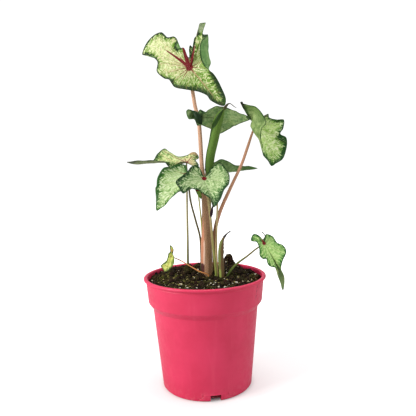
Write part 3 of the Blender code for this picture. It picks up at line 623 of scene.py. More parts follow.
# Each leaf: its joint with the stalk, the way its upper side faces, its tip and its
# edge from the joint (three more numbers bow a rib where a lobe folds over), then its
# main veins as (towards, half width, share of red, length).
LEAVES = {
    "blade_1": {
        "joint": (-9, -4, 308), "upper_side": (-0.15, -0.95, 0.25), "tip": (31, -11, -38),
        "edge": (
            (-1, 2, 10), (-5, 3, 19), (-11, 4, 18), (-13, 5, 22), (-11, 6, 26), (-14, 8, 31),
            (-21, 9, 31), (-26, 11, 36), (-34, 13, 34), (-42, 15, 27), (-46, 14, 16.5),
            (-40, 12, 16), (-31, 8, 8), (-32, 9, -1), (-25, 8, -8), (-20, 5, -10),
            (-15, 4, -17), (-6, 0, -20), (7, -3, -23), (15, -6, -27), (20, -8, -33),
            (31, -11, -38), (33, -12, -31), (28, -14, -19), (22, -17, -10, 4, 0, 0),
            (15, -20, -5, 18, 0, 2), (11, -21, 2, 27, 1, 3), (10, -20, 12, 26, 3, 0),
            (12, -17, 20, 22, 4, -3), (18, -9, 27, 11, 6, -4), (13, -3, 30, 3, 3, 0),
            (16, -3, 40), (10, -1, 39), (10, 2, 32), (5, 2, 27), (4, 2, 19), (1, 2, 21),
            (0, 2, 17), (2, 1, 12)),
        "veins": (
            ((-24, 6, 22), 1.8, 1.0, 31), ((-7, 3, 21), 2.8, 1.0, 23),
            ((6, 0, 20), 2.1, 1.0, 22), ((31, -11, -38), 0.9, 0.2, 36),
            ((-6, 1, -9), 0.6, 0.8, 14), ((12, -2, 6), 0.6, 0.7, 17),
            ((-26, 6, -3), 0.45, 0.4, 25), ((12, -4, -1), 0.6, 0.8, 12),
            ((-14, 3, -10), 0.45, 0.5, 18), ((-12, 4, 13), 0.9, 1.0, 15),
            ((-22, 6, 6), 0.4, 0.35, 26), ((-26, 7, 12), 0.4, 0.3, 30)),
        "spot": 3.0,
        "look": {
            "cream": 0.96, "spread": 5.5, "border": 1.3, "tip_border": 0.7, "fleck": 0.5,
            "right_border": 2.2, "tip_green": 0.65, "tip_start": -24.0, "blush": 0.3},
    },
    "blade_2": {
        "joint": (16, 4, 260), "upper_side": (0, 0.7, 0.7), "tip": (32, -10, -1),
        "edge": (
            (4, -13, 10.5), (11, -13, 8.5), (21, -13, 4), (32, -10, -1), (25, -4, -4),
            (16, 4, -7), (3, 10, -13), (-6, 4, -9), (-12, -3, -7), (-16, -10, -6),
            (-19, -16, -7), (-22, -17, -1.5), (-27, -17, -1), (-29, -16, 6), (-27, -16, 8),
            (-24, -16, 6), (-21, -16, 2), (-16, -14, 8), (-13, -13, 4.5), (-8, -13, 8),
            (-2, -14, 10.5)),
        "veins": (
            ((32, -10, -1), 0.6, 0.3, 32), ((-14, -6, 0), 0.6, 0.4, 20),
            ((-8, 3, -8), 0.5, 0.3, 14), ((4, -12, 9), 0.45, 0.3, 14),
            ((10, 6, -9), 0.4, 0.2, 14)),
        "look": {},
    },
    "blade_3": {
        "joint": (54, 3, 252.5), "upper_side": (0.55, -0.5, 0.6), "tip": (17, -6, -38),
        "edge": (
            (4, 2, 5), (9, 1, 10), (12, 2, 11.5), (13, 3, 8), (20, 3, 6), (27, 3, 5.5),
            (26, 1, -3), (23, 0, -8), (29, 1, -12), (29, 0, -21), (25, -2, -32),
            (17, -6, -37), (13, -7, -39), (9, -9, -34), (4, -11, -27, -2, 0, 0),
            (4, -14, -20, -5, -1, 0), (2, -18, -12, -10, -2, 0), (3, -20, -4, -13, -2, 0),
            (7, -19, 1, -17, -2, 2), (4, -18, 9, -11, -2, 3), (-2, -17, 16, -3, 0, 1),
            (-8, -15, 18), (-15, -11, 20), (-11, -9, 14), (-6, -4, 8)),
        "veins": (
            ((17, -6, -38), 0.5, 0.05, 40), ((20, 2, 5), 0.45, 0.05, 22),
            ((24, 0, -14), 0.4, 0.05, 24), ((-8, -9, 13), 0.4, 0.1, 16),
            ((5, -12, -14), 0.4, 0.05, 18)),
        "look": {
            "cream": 1.08, "spread": 6.0, "border": 1.4, "tip_border": 1.2, "tip_green": 0.35,
            "right_border": 1.0, "fleck": 1.0},
    },
    "blade_4": {
        "joint": (-15, 10, 219), "upper_side": (0.1, -0.35, 0.93), "tip": (-57, -14, 3),
        "edge": (
            (9, 4, 2.5), (12, -2, -3), (8, -7, -4), (2, -10, -1), (-4, -11, 1),
            (-10, -12, -2), (-16, -12, -4), (-21, -13, 1), (-27, -13, 2.5), (-35, -14, 3),
            (-44, -15, 3), (-57, -14, 2), (-52, -4, 0), (-41, 2, 0), (-34, 7, 3),
            (-30, 12, 10), (-23, 17, 15), (-15, 18, 9), (-8, 19, 7), (-1, 19, 8),
            (8, 18, 11), (12, 14, 5)),
        "veins": (
            ((-57, -14, 3), 0.6, 0.6, 40), ((-23, 14, 8), 0.6, 0.8, 18),
            ((6, 14, 6), 0.6, 0.9, 14), ((-8, -9, 0), 0.5, 0.7, 12),
            ((8, -3, -2), 0.6, 0.8, 9), ((-4, 17, 7), 0.5, 0.8, 14)),
        "look": {"cream": 0.8, "spread": 7.0, "border": 1.5, "fleck": 1.6, "blush": 0.7},
    },
    "blade_5": {
        "joint": (-15.5, -7, 207.5), "upper_side": (-0.35, -0.85, 0.4),
        "tip": (-27, -20, -32),
        "edge": (
            (2, 1, 3), (0, 2, 9), (-7, 1, 10), (-14, 0, 8), (-21, 0, 7), (-27, -1, -2),
            (-28, -4, -10), (-29, -5, -12), (-28, -11, -21), (-27, -20, -32),
            (-21, -19, -29), (-15, -16, -23), (-7, -11, -16), (2, -8, -15), (8, -4, -9),
            (8, 0, -1), (5, 3, 4)),
        "veins": (
            ((-27, -20, -32), 0.5, 0.08, 36), ((-14, 0, 6), 0.5, 0.5, 13),
            ((-24, -6, -10), 0.4, 0.2, 18), ((-4, -8, -12), 0.4, 0.2, 13),
            ((4, -4, -9), 0.45, 0.3, 9)),
        "look": {
            "cream": 1.02, "spread": 7.0, "border": 1.5, "left_border": 1.5, "fleck": 1.0},
    },
    "blade_6": {
        "joint": (2, -9, 203), "upper_side": (0.1, -0.75, 0.65), "tip": (8, -26, -25),
        "edge": (
            (0, 2, 3), (3, 3, 4), (6, 6, 9), (11, 8, 13), (16, 7, 15), (21, 3, 9),
            (24, -3, 3), (23, -10, -5), (18, -15, -11), (14, -21, -19), (8, -26, -25),
            (5, -22, -18), (-1, -18, -13), (-6, -17, -10), (-13, -18, -8), (-19, -22, -12),
            (-23, -19, -7), (-26, -16, -2), (-24, -13, 1), (-20, -8, 4), (-16, -4, 7),
            (-12, 2, 12), (-6, 5, 13), (-3, 5, 8), (-2, 3, 4)),
        "veins": (
            ((8, -26, -25), 0.6, 0.08, 30), ((-12, -2, 8), 0.9, 0.4, 12),
            ((12, 4, 10), 0.45, 0.15, 13), ((18, -6, -2), 0.4, 0.1, 16),
            ((-16, -12, -3), 0.4, 0.1, 16), ((-4, -12, -8), 0.4, 0.1, 12)),
        "spot": 2.0,
        "look": {
            "cream": 1.05, "spread": 8.0, "border": 1.5, "right_border": 2.2, "left_border": 1.2,
            "left_green": 0.1, "tip_green": 0.6, "tip_start": 0.0, "fleck": 1.0},
    },
    "blade_7": {
        "joint": (9, 17, 210), "upper_side": (0.1, 0.5, 0.85), "tip": (48, 8, 1.5),
        "edge": (
            (-4, -2, -3.5), (-6.5, -3.5, 2), (-2, -6.5, 6.5), (4, -7.5, 9), (10, -7.5, 11.5),
            (17, -6, 9.5), (24, -3, 5.5), (31, 0, 4.5), (39, 4, 4), (48, 8, 1.5),
            (40, 11, 1), (33, 14, 0), (28, 17, -1), (20, 19, -1), (12, 18, -3),
            (2, 11, -4), (-4, 4, -5)),
        "veins": (
            ((48, 8, 1.5), 0.6, 0.3, 44), ((14, -5, 8), 0.45, 0.3, 16),
            ((14, 15, -2), 0.45, 0.3, 18)),
        "look": {},
    },
    "blade_8": {
        "joint": (58, -9, 139.5), "upper_side": (0.25, -0.8, 0.5), "tip": (18, 1, -47),
        "edge": (
            (-1, 1, 4), (-3, 3, 6), (-6, 5, 8), (-10, 6, 8), (-12, 5, 2), (-7, 1, 1),
            (-5, -2, -5), (-5, -5, -11), (-2, -7, -14), (1, -8, -14), (3, -10, -20),
            (11, -10, -23), (13, -5, -33), (18, 1, -47), (19, -3, -33), (15, -8, -26),
            (16, -9, -17), (21, -3, -8), (18, 0, -2), (13, 2, 0), (9, 5, 6), (3, 6, 8),
            (1, 3, 6)),
        "veins": (
            ((14, -6, -28), 0.5, 0.06, 34), ((-4, 3, 6), 1.2, 0.7, 7),
            ((6, 3, 4), 0.4, 0.1, 8), ((16, -4, -8), 0.4, 0.1, 16),
            ((-2, -5, -10), 0.4, 0.1, 11)),
        "look": {
            "cream": 0.95, "spread": 6.0, "border": 1.2, "right_border": 0.8, "tip_border": 0.4},
    },
    "blade_9": {
        "joint": (-34, 18, 124), "upper_side": (-0.5, -0.75, 0.4), "tip": (-6, -5, -15),
        "edge": (
            (-1, 0, 5), (-1, -1, 12), (3, -3, 8), (1, -3, 5), (3, -5, 1), (3, -6, -6),
            (0, -6, -11), (-6, -5, -15), (-9, -2, -13), (-11, 0, -9), (-6, 0, -6),
            (-4, 1, -1), (-3, 1, 3)),
        "veins": (((-6, -5, -15), 0.4, 0.2, 13), ((0, -2, 6), 0.5, 0.3, 4)),
        "spot": 0.4,
        "look": {"cream": 0.7, "spread": 3.0, "border": 0.3, "right_border": 1.6, "fleck": 1.4},
    },
    "blade_10": {
        "joint": (-5, 7, 192), "upper_side": (0.2, -0.9, 0.3), "tip": (2, -2, -9),
        "edge": (
            (2.5, 0, 3), (4, -0.5, -3), (3.5, -2, -9), (0, -1, -5), (-2.5, 0, 1), (-3, 2, 7),
            (-1, 3, 14), (1.5, 2, 9)),
        "veins": (((1, 1, 9), 0.35, 0.1, 12), ((1, -1, -7), 0.35, 0.1, 8)),
        "look": {"cream": 0.7, "spread": 4.0, "border": 0.3},
    },
}

# Where a leaf has another tone, on both sides: place, radius and screen colour. Dark, as
# painted shade, are the curled lobe and the folded corners; grey is the dry curl of the top
# leaf; and pale, as painted light, are the parts that turn their underside to the light.
LEAF_TONES_AND_PAINTED_LIGHT = {
    "blade_1": (
        ((4, -2, 344), 7.0, (128, 144, 108)), ((-56, 11, 298), 4.0, (34, 30, 22)),
        ((29, -15, 273), 9.0, (56, 98, 26))),
    "blade_2": (
        ((-2, -6, 261), 7.0, (14, 48, 16)), ((46, -6, 260), 3.5, (24, 60, 20)),
        ((9, 0, 251), 6.0, (184, 204, 128)), ((27, 0, 252), 9.0, (170, 200, 120))),
    "blade_3": (((40, -9, 272), 1.8, (46, 60, 30)), ((66, -12, 262), 8.0, (104, 132, 70))),
    "blade_4": (((-70, -4, 222), 10.0, (66, 80, 50)), ((-8, 28, 230), 7.0, (168, 140, 96))),
    "blade_7": (((50, 24, 212), 14.0, (72, 112, 52)),),
    "blade_8": (((73, -10, 106), 16.0, (136, 160, 104)),),
    "blade_9": (((-34, 16, 130), 2.6, (206, 150, 84)), ((-30, 12, 119), 6.0, (104, 128, 44))),
}

# What a leaf's look says when it isn't given: how much of it is pale, how far the green
# reaches in from the margin, how wide the dark border is, more of it towards the tip and
# on either side, how mottled it is, and how far a blush spreads round the joint. The left
# painted shade greens the left half a little, where it faces down, away from the light.
PLAIN_LOOK = {
    "cream": 0.8, "spread": 8.0, "border": 1.2, "tip_border": 0.0, "right_border": 0.0,
    "left_border": 0.0, "left_green": 0.0, "tip_green": 0.0, "tip_start": 2.0, "fleck": 0.5,
    "blush": 0.0,
}

# Screen colours of a leaf: its middle, the pale strokes there, its mottle, its margin,
# its main veins, its underside and the paler clouds of that.
LEAF_COLOURS = {
    "blade_1": (
        (214, 222, 160), (232, 236, 190), (108, 150, 44), (12, 46, 4), (200, 160, 124),
        (104, 150, 80), (136, 172, 104)),
    "blade_2": (
        (150, 190, 112), (170, 206, 132), (92, 138, 66), (30, 72, 22), (170, 200, 120),
        (132, 172, 108), (182, 208, 142)),
    "blade_3": (
        (200, 228, 138), (236, 244, 200), (116, 164, 60), (16, 72, 10), (212, 228, 166),
        (106, 134, 70), (156, 178, 112)),
    "blade_4": (
        (196, 208, 140), (222, 228, 170), (104, 142, 62), (24, 62, 12), (176, 88, 76),
        (126, 142, 92), (160, 172, 124)),
    "blade_5": (
        (182, 208, 144), (230, 240, 204), (100, 146, 64), (22, 80, 10), (208, 220, 158),
        (112, 146, 88), (140, 170, 110)),
    "blade_6": (
        (166, 192, 130), (220, 234, 186), (84, 128, 62), (10, 58, 10), (206, 224, 170),
        (112, 146, 88), (140, 170, 110)),
    "blade_7": (
        (150, 180, 112), (170, 200, 130), (92, 130, 66), (30, 76, 24), (140, 170, 104),
        (108, 146, 84), (140, 178, 112)),
    "blade_8": (
        (164, 200, 116), (196, 220, 150), (98, 150, 66), (26, 82, 26), (168, 190, 120),
        (118, 154, 84), (150, 180, 110)),
    "blade_9": (
        (206, 214, 104), (226, 230, 136), (140, 164, 56), (50, 84, 20), (196, 160, 90),
        (206, 208, 108), (226, 226, 140)),
    "blade_10": (
        (170, 210, 96), (190, 224, 120), (120, 170, 60), (70, 120, 40), (180, 214, 110),
        (164, 200, 100), (180, 210, 120)),
}
CRIMSON = (112, 2, 14)
BLUSH = (196, 132, 104)


def smooth_curve(points, spacing, closed):
    """Points along the smooth curve through the given ones, about one spacing apart.

    Each span is a cubic whose slope at a point is that of the line between the point's
    two neighbours, measured in steps of the square root of the distance. Every given
    point is kept. The first three columns are the place; further ones follow along.
    """
    rows = np.array(points, float)
    if closed:
        rows = np.vstack([rows[-1], rows, rows[0], rows[1]])
    else:
        rows = np.vstack([2 * rows[0] - rows[1], rows, 2 * rows[-1] - rows[-2]])
    lengths = np.linalg.norm(np.diff(rows[:, :3], axis=0), axis=1)
    steps = np.sqrt(lengths)
    parts = []
    for i in range(1, len(rows) - 2):
        before, here, after = steps[i - 1], steps[i], steps[i + 1]
        leave = (rows[i + 1] - rows[i - 1]) / (before + here) * here
        arrive = (rows[i + 2] - rows[i]) / (here + after) * here
        count = max(1, round(lengths[i] / spacing))
        u = (np.arange(count) / count)[:, None]
        parts.append(
            (2 * u**3 - 3 * u**2 + 1) * rows[i] + (u**3 - 2 * u**2 + u) * leave
            + (3 * u**2 - 2 * u**3) * rows[i + 1] + (u**3 - u**2) * arrive)
    if not closed:
        parts.append(rows[-2:-1])
    return np.vstack(parts)


def unit(vectors):
    """Vectors, along the last axis, brought to length one."""
    vectors = np.asarray(vectors, float)
    return vectors / np.maximum(np.linalg.norm(vectors, axis=-1, keepdims=True), 1e-9)


def leaf_axes(leaf):
    """A leaf's own axes: across it, from the joint to the tip, and up from its face."""
    up = unit(leaf["upper_side"])
    tip = np.array(leaf["tip"], float)
    along = unit(tip - (tip @ up) * up)
    return np.cross(up, along), along, up


def leaf_sheet(leaf):
    """A blade's middle surface by place round its edge and by ring from the joint.

    Each edge point has a rib. Along it the reach grows evenly, the rise above the
    joint's plane grows slowly and then faster, and a bow swings it aside at its middle.
    Returns the points, the normals, and for each point its place on the unrolled leaf:
    across, along and in from the margin, in millimetres.
    """
    edge = [tuple(point) + (0,) * (6 - len(point)) for point in leaf["edge"]]
    rows = smooth_curve(edge, EDGE_SPACING, closed=True)
    reach, bow = rows[:, :3], rows[:, 3:]
    across, along, up = leaf_axes(leaf)
    lift = (reach @ up)[:, None] * up
    out = np.linspace(0, 1, BLADE_RINGS + 1)[:, None, None]
    rise = RISE_NEAR_JOINT * out * (1 - out) + out**2
    sheet = out * (reach - lift) + rise * lift + 2 * out * (1 - out) * bow
    start = reach + 2 * bow
    bearing = np.arctan2(start @ across, start @ along)
    steps = np.linalg.norm(np.diff(sheet, axis=0), axis=2)
    run = np.vstack([np.zeros(len(rows)), np.cumsum(steps, axis=0)])
    flat = np.stack([run * np.sin(bearing), run * np.cos(bearing)], 2)
    gaps = np.linalg.norm(flat[:, :, None] - flat[-1][None, None, ::2], axis=3).min(2)
    gaps[-1] = 0
    flat = np.dstack([flat, gaps])
    round_edge = np.roll(sheet, -1, axis=1) - np.roll(sheet, 1, axis=1)
    outwards = np.gradient(sheet, axis=0)
    cross = np.cross(round_edge, outwards)
    if (cross @ up).sum() < 0:
        cross = -cross
    normals = unit(cross)
    normals[0] = unit(unit(cross[1]).mean(0))
    return sheet + np.array(leaf["joint"], float), normals, flat


def quilted(flat, seed):
    """Height of the blade's fine form: it puffs up between the side veins and the
    margin ripples, both nearly nothing at the joint."""
    x, y, inside = flat[..., 0], flat[..., 1], flat[..., 2]
    run = np.hypot(x, y)
    bearing = np.arctan2(x, y)
    puff = np.abs(np.sin(math.pi * (y - 0.8 * np.abs(x)) / VEIN_SPACING))
    puff = puff * np.clip(inside / 6, 0, 1) * np.clip(run / 12, 0, 1)
    ripple = np.sin(run * 0.42 + 5 * np.sin(bearing * 3 + seed)) * np.exp(-inside / 4)
    return 0.22 * puff + 0.28 * ripple * np.clip(run / 14, 0, 1)


def vein_line_group():
    """Mask of one main vein: a straight line from the joint on the unrolled leaf, that
    bends a little, tapers to its end, and has soft sides."""
    group = bpy.data.node_groups.new("vein_line", "ShaderNodeTree")
    face = group.interface
    for name, kind in (
            ("Flat", "NodeSocketVector"), ("Toward", "NodeSocketVector"),
            ("Beside", "NodeSocketVector"), ("Half Width", "NodeSocketFloat"),
            ("Length", "NodeSocketFloat"), ("Bend", "NodeSocketFloat")):
        face.new_socket(name, in_out="INPUT", socket_type=kind)
    face.new_socket("Mask", in_out="OUTPUT", socket_type="NodeSocketFloat")
    given = group.nodes.new("NodeGroupInput").outputs
    result = group.nodes.new("NodeGroupOutput")
    dots = [
        add_node(group, "ShaderNodeVectorMath", {"operation": "DOT_PRODUCT"},
                 input_0=given["Flat"], input_1=given[key]).outputs["Value"]
        for key in ("Toward", "Beside")]
    share = sums(group, "DIVIDE", dots[0], given["Length"], clamp=True)
    sag = sums(group, "MULTIPLY", sums(group, "MULTIPLY", share, share), given["Bend"])
    aside = sums(group, "ABSOLUTE", sums(group, "SUBTRACT", dots[1], sag))
    left = sums(group, "SUBTRACT", 1.0, share)
    near = sums(group, "POWER", left, 2.5)
    left = sums(group, "MULTIPLY_ADD", near, 0.55, sums(group, "POWER", left, 0.3))
    width = sums(group, "MULTIPLY", sums(group, "MULTIPLY", left, given["Half Width"]), 0.65)
    edge = sums(group, "DIVIDE", sums(group, "SUBTRACT", width, aside), 0.28)
    inside = sums(group, "ADD", edge, 0.5, clamp=True)
    begun = ramp(group, dots[0], -0.6, 0.2)
    mask = sums(group, "MULTIPLY", inside, begun)
    group.links.new(mask, result.inputs["Mask"])
    return group


def vein_lay(group, x, y, run, cloud):
    """The lie of the side veins: rays round the joint, and slanting lines off the mid-rib
    towards the tip, both pushed aside by a cloud. Returns the millimetres across them and
    along them, and the distance to the nearest."""
    aside = sums(group, "ABSOLUTE", x)
    slant = sums(group, "SUBTRACT", y, sums(group, "MULTIPLY", aside, 0.8))
    slant = sums(group, "MULTIPLY_ADD", cloud, 9.0, slant)
    comb = sums(group, "PINGPONG", sums(group, "DIVIDE", slant, VEIN_SPACING), 0.5)
    pinnate = sums(group, "MULTIPLY", comb, VEIN_SPACING * 0.78)
    turn = sums(group, "MULTIPLY_ADD", cloud, 0.5, sums(group, "ARCTAN2", x, y))
    comb = sums(group, "PINGPONG", sums(group, "DIVIDE", turn, RAY_SPACING), 0.5)
    rays = sums(group, "MULTIPLY", sums(group, "MULTIPLY", comb, RAY_SPACING), run)
    share = ramp(group, y, -2.0, 10.0)
    pairs = (
        (sums(group, "MULTIPLY", turn, 12.0), sums(group, "MULTIPLY", slant, 0.78)),
        (run, sums(group, "MULTIPLY", aside, 1.28)), (rays, pinnate))
    return [
        add_node(group, "ShaderNodeMix", {"data_type": "FLOAT"}, input_0=share, input_2=near,
                 input_3=far).outputs[0]
        for near, far in pairs]


def new_group(name, inputs, outputs):
    """An empty node group with its sockets: tuples of names for each kind."""
    group = bpy.data.node_groups.new(name, "ShaderNodeTree")
    for way, kinds in (("INPUT", inputs), ("OUTPUT", outputs)):
        for kind, names in kinds.items():
            for label in names:
                group.interface.new_socket(label, in_out=way, socket_type=f"NodeSocket{kind}")
    given = group.nodes.new("NodeGroupInput").outputs
    return group, given, group.nodes.new("NodeGroupOutput").inputs


def leaf_face_group():
    """Colours of a blade's upper side from its unrolled place. A level of green rises to
    the margin and to the tip and is broken up by strokes along the side veins and by
    flecks. It turns the pale middle into mottle and then into the dark margin. Pale
    strokes lie between, and the side veins are finer still."""
    group, given, result = new_group(
        "caladium_face",
        {"Vector": ("Flat",),
         "Color": ("Middle", "Light", "Mottle", "Margin", "Vein Tone"),
         "Float": (
             "Veins", "Red", "Cream", "Spread", "Border", "Tip Border", "Right Border",
             "Left Border", "Left Green", "Tip Green", "Tip Start", "Fleck", "Blush", "Seed")},
        {"Color": ("Color",), "Float": ("Roughness", "Height")})
    parts = add_node(group, "ShaderNodeSeparateXYZ", Vector=given["Flat"]).outputs
    x, y, inside = parts["X"], parts["Y"], parts["Z"]
    run = sums(group, "SQRT", sums(group, "MULTIPLY_ADD", x, x, sums(group, "MULTIPLY", y, y)))
    shifted = add_node(
        group, "ShaderNodeVectorMath", {"operation": "MULTIPLY_ADD"}, input_0=given["Flat"],
        input_1=(1.0, 1.0, 0.25), input_2=given["Seed"]).outputs[0]
    cloud = grain(group, shifted, 0.16, 2.0)
    fleck = grain(group, shifted, 0.5, 2.0)
    across, along, apart = vein_lay(group, x, y, run, cloud)
    lie = add_node(
        group, "ShaderNodeCombineXYZ", X=across, Y=sums(group, "MULTIPLY", along, 0.3),
        Z=sums(group, "MULTIPLY_ADD", ramp(group, x, -0.2, 0.2), 5.0, given["Seed"])).outputs[0]
    streak = grain(group, lie, 0.6, 2.0)
    fine = grain(group, lie, 1.5, 1.0)
    stroke = sums(group, "MULTIPLY_ADD", streak, 4.0, -5.0)
    stroke = sums(group, "MULTIPLY_ADD", fine, 6.0, stroke)
    tipward = ramp(group, y, given["Tip Start"], sums(group, "ADD", given["Tip Start"], 38.0))
    rightward = ramp(group, x, 0.0, 14.0)
    leftward = ramp(group, x, -12.0, -1.0, 1.0, 0.0)
    wide = sums(group, "MULTIPLY_ADD", rightward, given["Right Border"], given["Tip Border"])
    border = sums(group, "MULTIPLY_ADD", tipward, wide, given["Border"])
    border = sums(group, "MULTIPLY_ADD", leftward, given["Left Border"], border)
    past = sums(group, "SUBTRACT", inside, border)
    depth = sums(group, "DIVIDE", past, given["Spread"], clamp=True)
    outer = sums(group, "POWER", sums(group, "SUBTRACT", 1.0, depth), 1.6)
    net = sums(
        group, "MULTIPLY", ramp(group, apart, 0.1, 0.8, 1.0, 0.0), ramp(group, run, 4.0, 12.0))
    broken = sums(group, "MULTIPLY", net, ramp(group, fleck, 0.4, 0.55))
    level = sums(group, "MULTIPLY_ADD", given["Cream"], -1.0, 1.0)
    level = sums(group, "MULTIPLY_ADD", outer, 0.85, level)
    level = sums(group, "MULTIPLY_ADD", tipward, given["Tip Green"], level)
    # Painted shade: the left half is made a little greener where it faces down, away from the light.
    level = sums(group, "MULTIPLY_ADD", leftward, given["Left Green"], level)
    swing = sums(group, "MULTIPLY_ADD", given["Fleck"], 0.12, 0.24)
    level = sums(group, "MULTIPLY_ADD", stroke, swing, level)
    level = sums(
        group, "MULTIPLY_ADD", sums(group, "SUBTRACT", fleck, 0.5), given["Fleck"], level)
    level = sums(group, "MULTIPLY_ADD", broken, -0.25, level)
    tone = blend(group, ramp(group, level, -0.1, 0.8), given["Middle"], given["Mottle"])
    pale = sums(
        group, "MULTIPLY", ramp(group, stroke, -1.0, -0.1, 0.75, 0.0),
        ramp(group, level, 0.3, 0.9, 1.0, 0.15))
    tone = blend(group, pale, tone, given["Light"])
    tone = blend(group, ramp(group, level, 0.7, 1.3, 0.0, 0.85), tone, given["Margin"])
    vein = sums(group, "MULTIPLY", net, ramp(group, level, 0.0, 0.7, 0.4, 0.15))
    tone = blend(group, vein, tone, given["Vein Tone"])
    blush = ramp(
        group, sums(group, "MULTIPLY_ADD", cloud, 12.0, run), 10.0, 20.0, given["Blush"], 0.0)
    tone = blend(group, blush, tone, blend(group, streak, given["Light"], colour(*BLUSH)))
    dark = ramp(group, sums(group, "MULTIPLY_ADD", stroke, -1.2, past), -0.5, 0.6, 1.0, 0.0)
    edge = ramp(group, inside, 0.6, 1.4, 1.0, 0.0)
    dark = sums(group, "MAXIMUM", dark, edge)
    tone = blend(group, sums(group, "MULTIPLY", dark, 0.95), tone, given["Margin"])
    tone = blend(group, sums(group, "MULTIPLY", given["Veins"], 0.65), tone, given["Vein Tone"])
    tone = blend(group, given["Red"], tone, colour(*CRIMSON))
    group.links.new(tone, result["Color"])
    rough = ramp(group, fleck, 0.3, 0.7, 0.42, 0.58)
    group.links.new(rough, result["Roughness"])
    height = sums(group, "MULTIPLY_ADD", net, -0.5, sums(group, "MULTIPLY", fine, 0.6))
    height = sums(group, "MULTIPLY_ADD", given["Veins"], -0.8, height)
    group.links.new(height, result["Height"])
    return group


def leaf_back_group():
    """Colours of a blade's underside: dull green with paler clouds and darker flecks,
    raised pale veins and a darker rim."""
    group, given, result = new_group(
        "caladium_back",
        {"Vector": ("Flat",), "Color": ("Back", "Pale", "Margin"), "Float": ("Veins", "Seed")},
        {"Color": ("Color",), "Float": ("Height",)})
    parts = add_node(group, "ShaderNodeSeparateXYZ", Vector=given["Flat"]).outputs
    x, y, inside = parts["X"], parts["Y"], parts["Z"]
    shift = add_node(
        group, "ShaderNodeVectorMath", {"operation": "ADD"}, input_0=given["Flat"],
        input_1=given["Seed"]).outputs[0]
    cloud = grain(group, shift, 0.16, 3.0)
    fleck = grain(group, shift, 0.5, 3.0)
    tone = blend(group, ramp(group, cloud, 0.4, 0.62, 0.0, 0.85), given["Back"], given["Pale"])
    tone = blend(group, ramp(group, fleck, 0.48, 0.68, 0.0, 0.45), tone, given["Margin"])
    slant = sums(
        group, "SUBTRACT", y, sums(group, "MULTIPLY", sums(group, "ABSOLUTE", x), 0.8))
    comb = sums(group, "PINGPONG", sums(group, "DIVIDE", slant, VEIN_SPACING), 0.5)
    net = ramp(group, comb, 0.0, 0.1, 1.0, 0.0)
    veins = sums(group, "MAXIMUM", sums(group, "MULTIPLY", net, 0.4), given["Veins"])
    tone = blend(group, sums(group, "MULTIPLY", veins, 0.6), tone, given["Pale"])
    edge = ramp(group, sums(group, "MULTIPLY_ADD", fleck, -1.2, inside), 0.0, 1.0, 0.7, 0.0)
    tone = blend(group, edge, tone, given["Margin"])
    group.links.new(tone, result["Color"])
    height = sums(group, "MULTIPLY_ADD", veins, 1.0, sums(group, "MULTIPLY", fleck, 0.5))
    group.links.new(height, result["Height"])
    return group


vein_line = vein_line_group()
leaf_face = leaf_face_group()
leaf_back = leaf_back_group()


def vein_masks(tree, leaf, flat):
    """Masks of all the main veins and of their red stretches near the joint."""
    across, along, _ = leaf_axes(leaf)
    everywhere = 0.0
    red = 0.0
    for number, (toward, half_width, redness, length) in enumerate(leaf["veins"]):
        bearing = math.atan2(np.dot(toward, across), np.dot(toward, along))
        sockets = {
            "Flat": flat, "Toward": (math.sin(bearing), math.cos(bearing), 0),
            "Beside": (math.cos(bearing), -math.sin(bearing), 0),
            "Half_Width": half_width, "Length": float(length),
            "Bend": (-1) ** number * length * 0.04}
        made = add_node(tree, "ShaderNodeGroup", {"node_tree": vein_line}, **sockets)
        everywhere = sums(tree, "MAXIMUM", made.outputs[0], everywhere)
        sockets["Length"] = length * redness * 0.95
        sockets["Half_Width"] = half_width * 0.95
        sockets["Bend"] = (-1) ** number * length * 0.04 * redness**2
        made = add_node(tree, "ShaderNodeGroup", {"node_tree": vein_line}, **sockets)
        red = sums(tree, "MAXIMUM", made.outputs[0], red)
    run = add_node(tree, "ShaderNodeVectorMath", {"operation": "MULTIPLY"}, input_0=flat,
                   input_1=(1.0, 1.0, 0.0)).outputs[0]
    run = add_node(tree, "ShaderNodeVectorMath", {"operation": "LENGTH"}, input_0=run)
    spot = ramp(tree, run.outputs["Value"], leaf.get("spot", 1.4), leaf.get("spot", 1.4) + 0.9, 1.0, 0.0)
    return everywhere, sums(tree, "MAXIMUM", red, spot)


def leaf_materials(node, leaf, seed):
    """The two finishes of a leaf: its patterned face and its dull back."""
    tones = [colour(*tone) for tone in LEAF_COLOURS[node]]
    middle, light, mottle, margin, vein, back, pale = tones
    look = {**PLAIN_LOOK, **leaf["look"]}
    look = {"_".join(word.capitalize() for word in key.split("_")): value
            for key, value in look.items()}
    made = []
    for side in ("face", "back"):
        material, shader = new_material(f"{node}_{side}")
        tree = material.node_tree
        flat = add_node(tree, "ShaderNodeAttribute", {"attribute_name": "flat"}).outputs["Vector"]
        veins, red = vein_masks(tree, leaf, flat)
        if side == "face":
            group = add_node(
                tree, "ShaderNodeGroup", {"node_tree": leaf_face}, Flat=flat, Veins=veins,
                Red=red, Middle=middle, Light=light, Mottle=mottle, Margin=margin,
                Vein_Tone=vein, Seed=float(seed), **look)
            tree.links.new(group.outputs["Roughness"], shader.inputs["Roughness"])
        else:
            group = add_node(
                tree, "ShaderNodeGroup", {"node_tree": leaf_back}, Flat=flat, Veins=veins,
                Back=back, Pale=pale, Margin=margin, Seed=float(seed))
            shader.inputs["Roughness"].default_value = 0.62
        tone = group.outputs["Color"]
        # Lay on the listed tones: painted shade on the curled lobe and folded corners, painted light where
        # an underside turns to the light, and the dry curl's grey.
        for spot, radius, touch in LEAF_TONES_AND_PAINTED_LIGHT.get(node, ()):
            apart = add_node(
                tree, "ShaderNodeVectorMath", {"operation": "DISTANCE"},
                input_0=millimetres(tree), input_1=spot).outputs["Value"]
            share = ramp(tree, apart, radius * 0.55, radius, 0.85, 0.0)
            tone = blend(tree, share, tone, colour(*touch))
        tree.links.new(tone, shader.inputs["Base Color"])
        shader.inputs["Specular IOR Level"].default_value = 0.25
        set_bump(tree, shader, group.outputs["Height"], 0.00035)
        made.append(material)
    return made


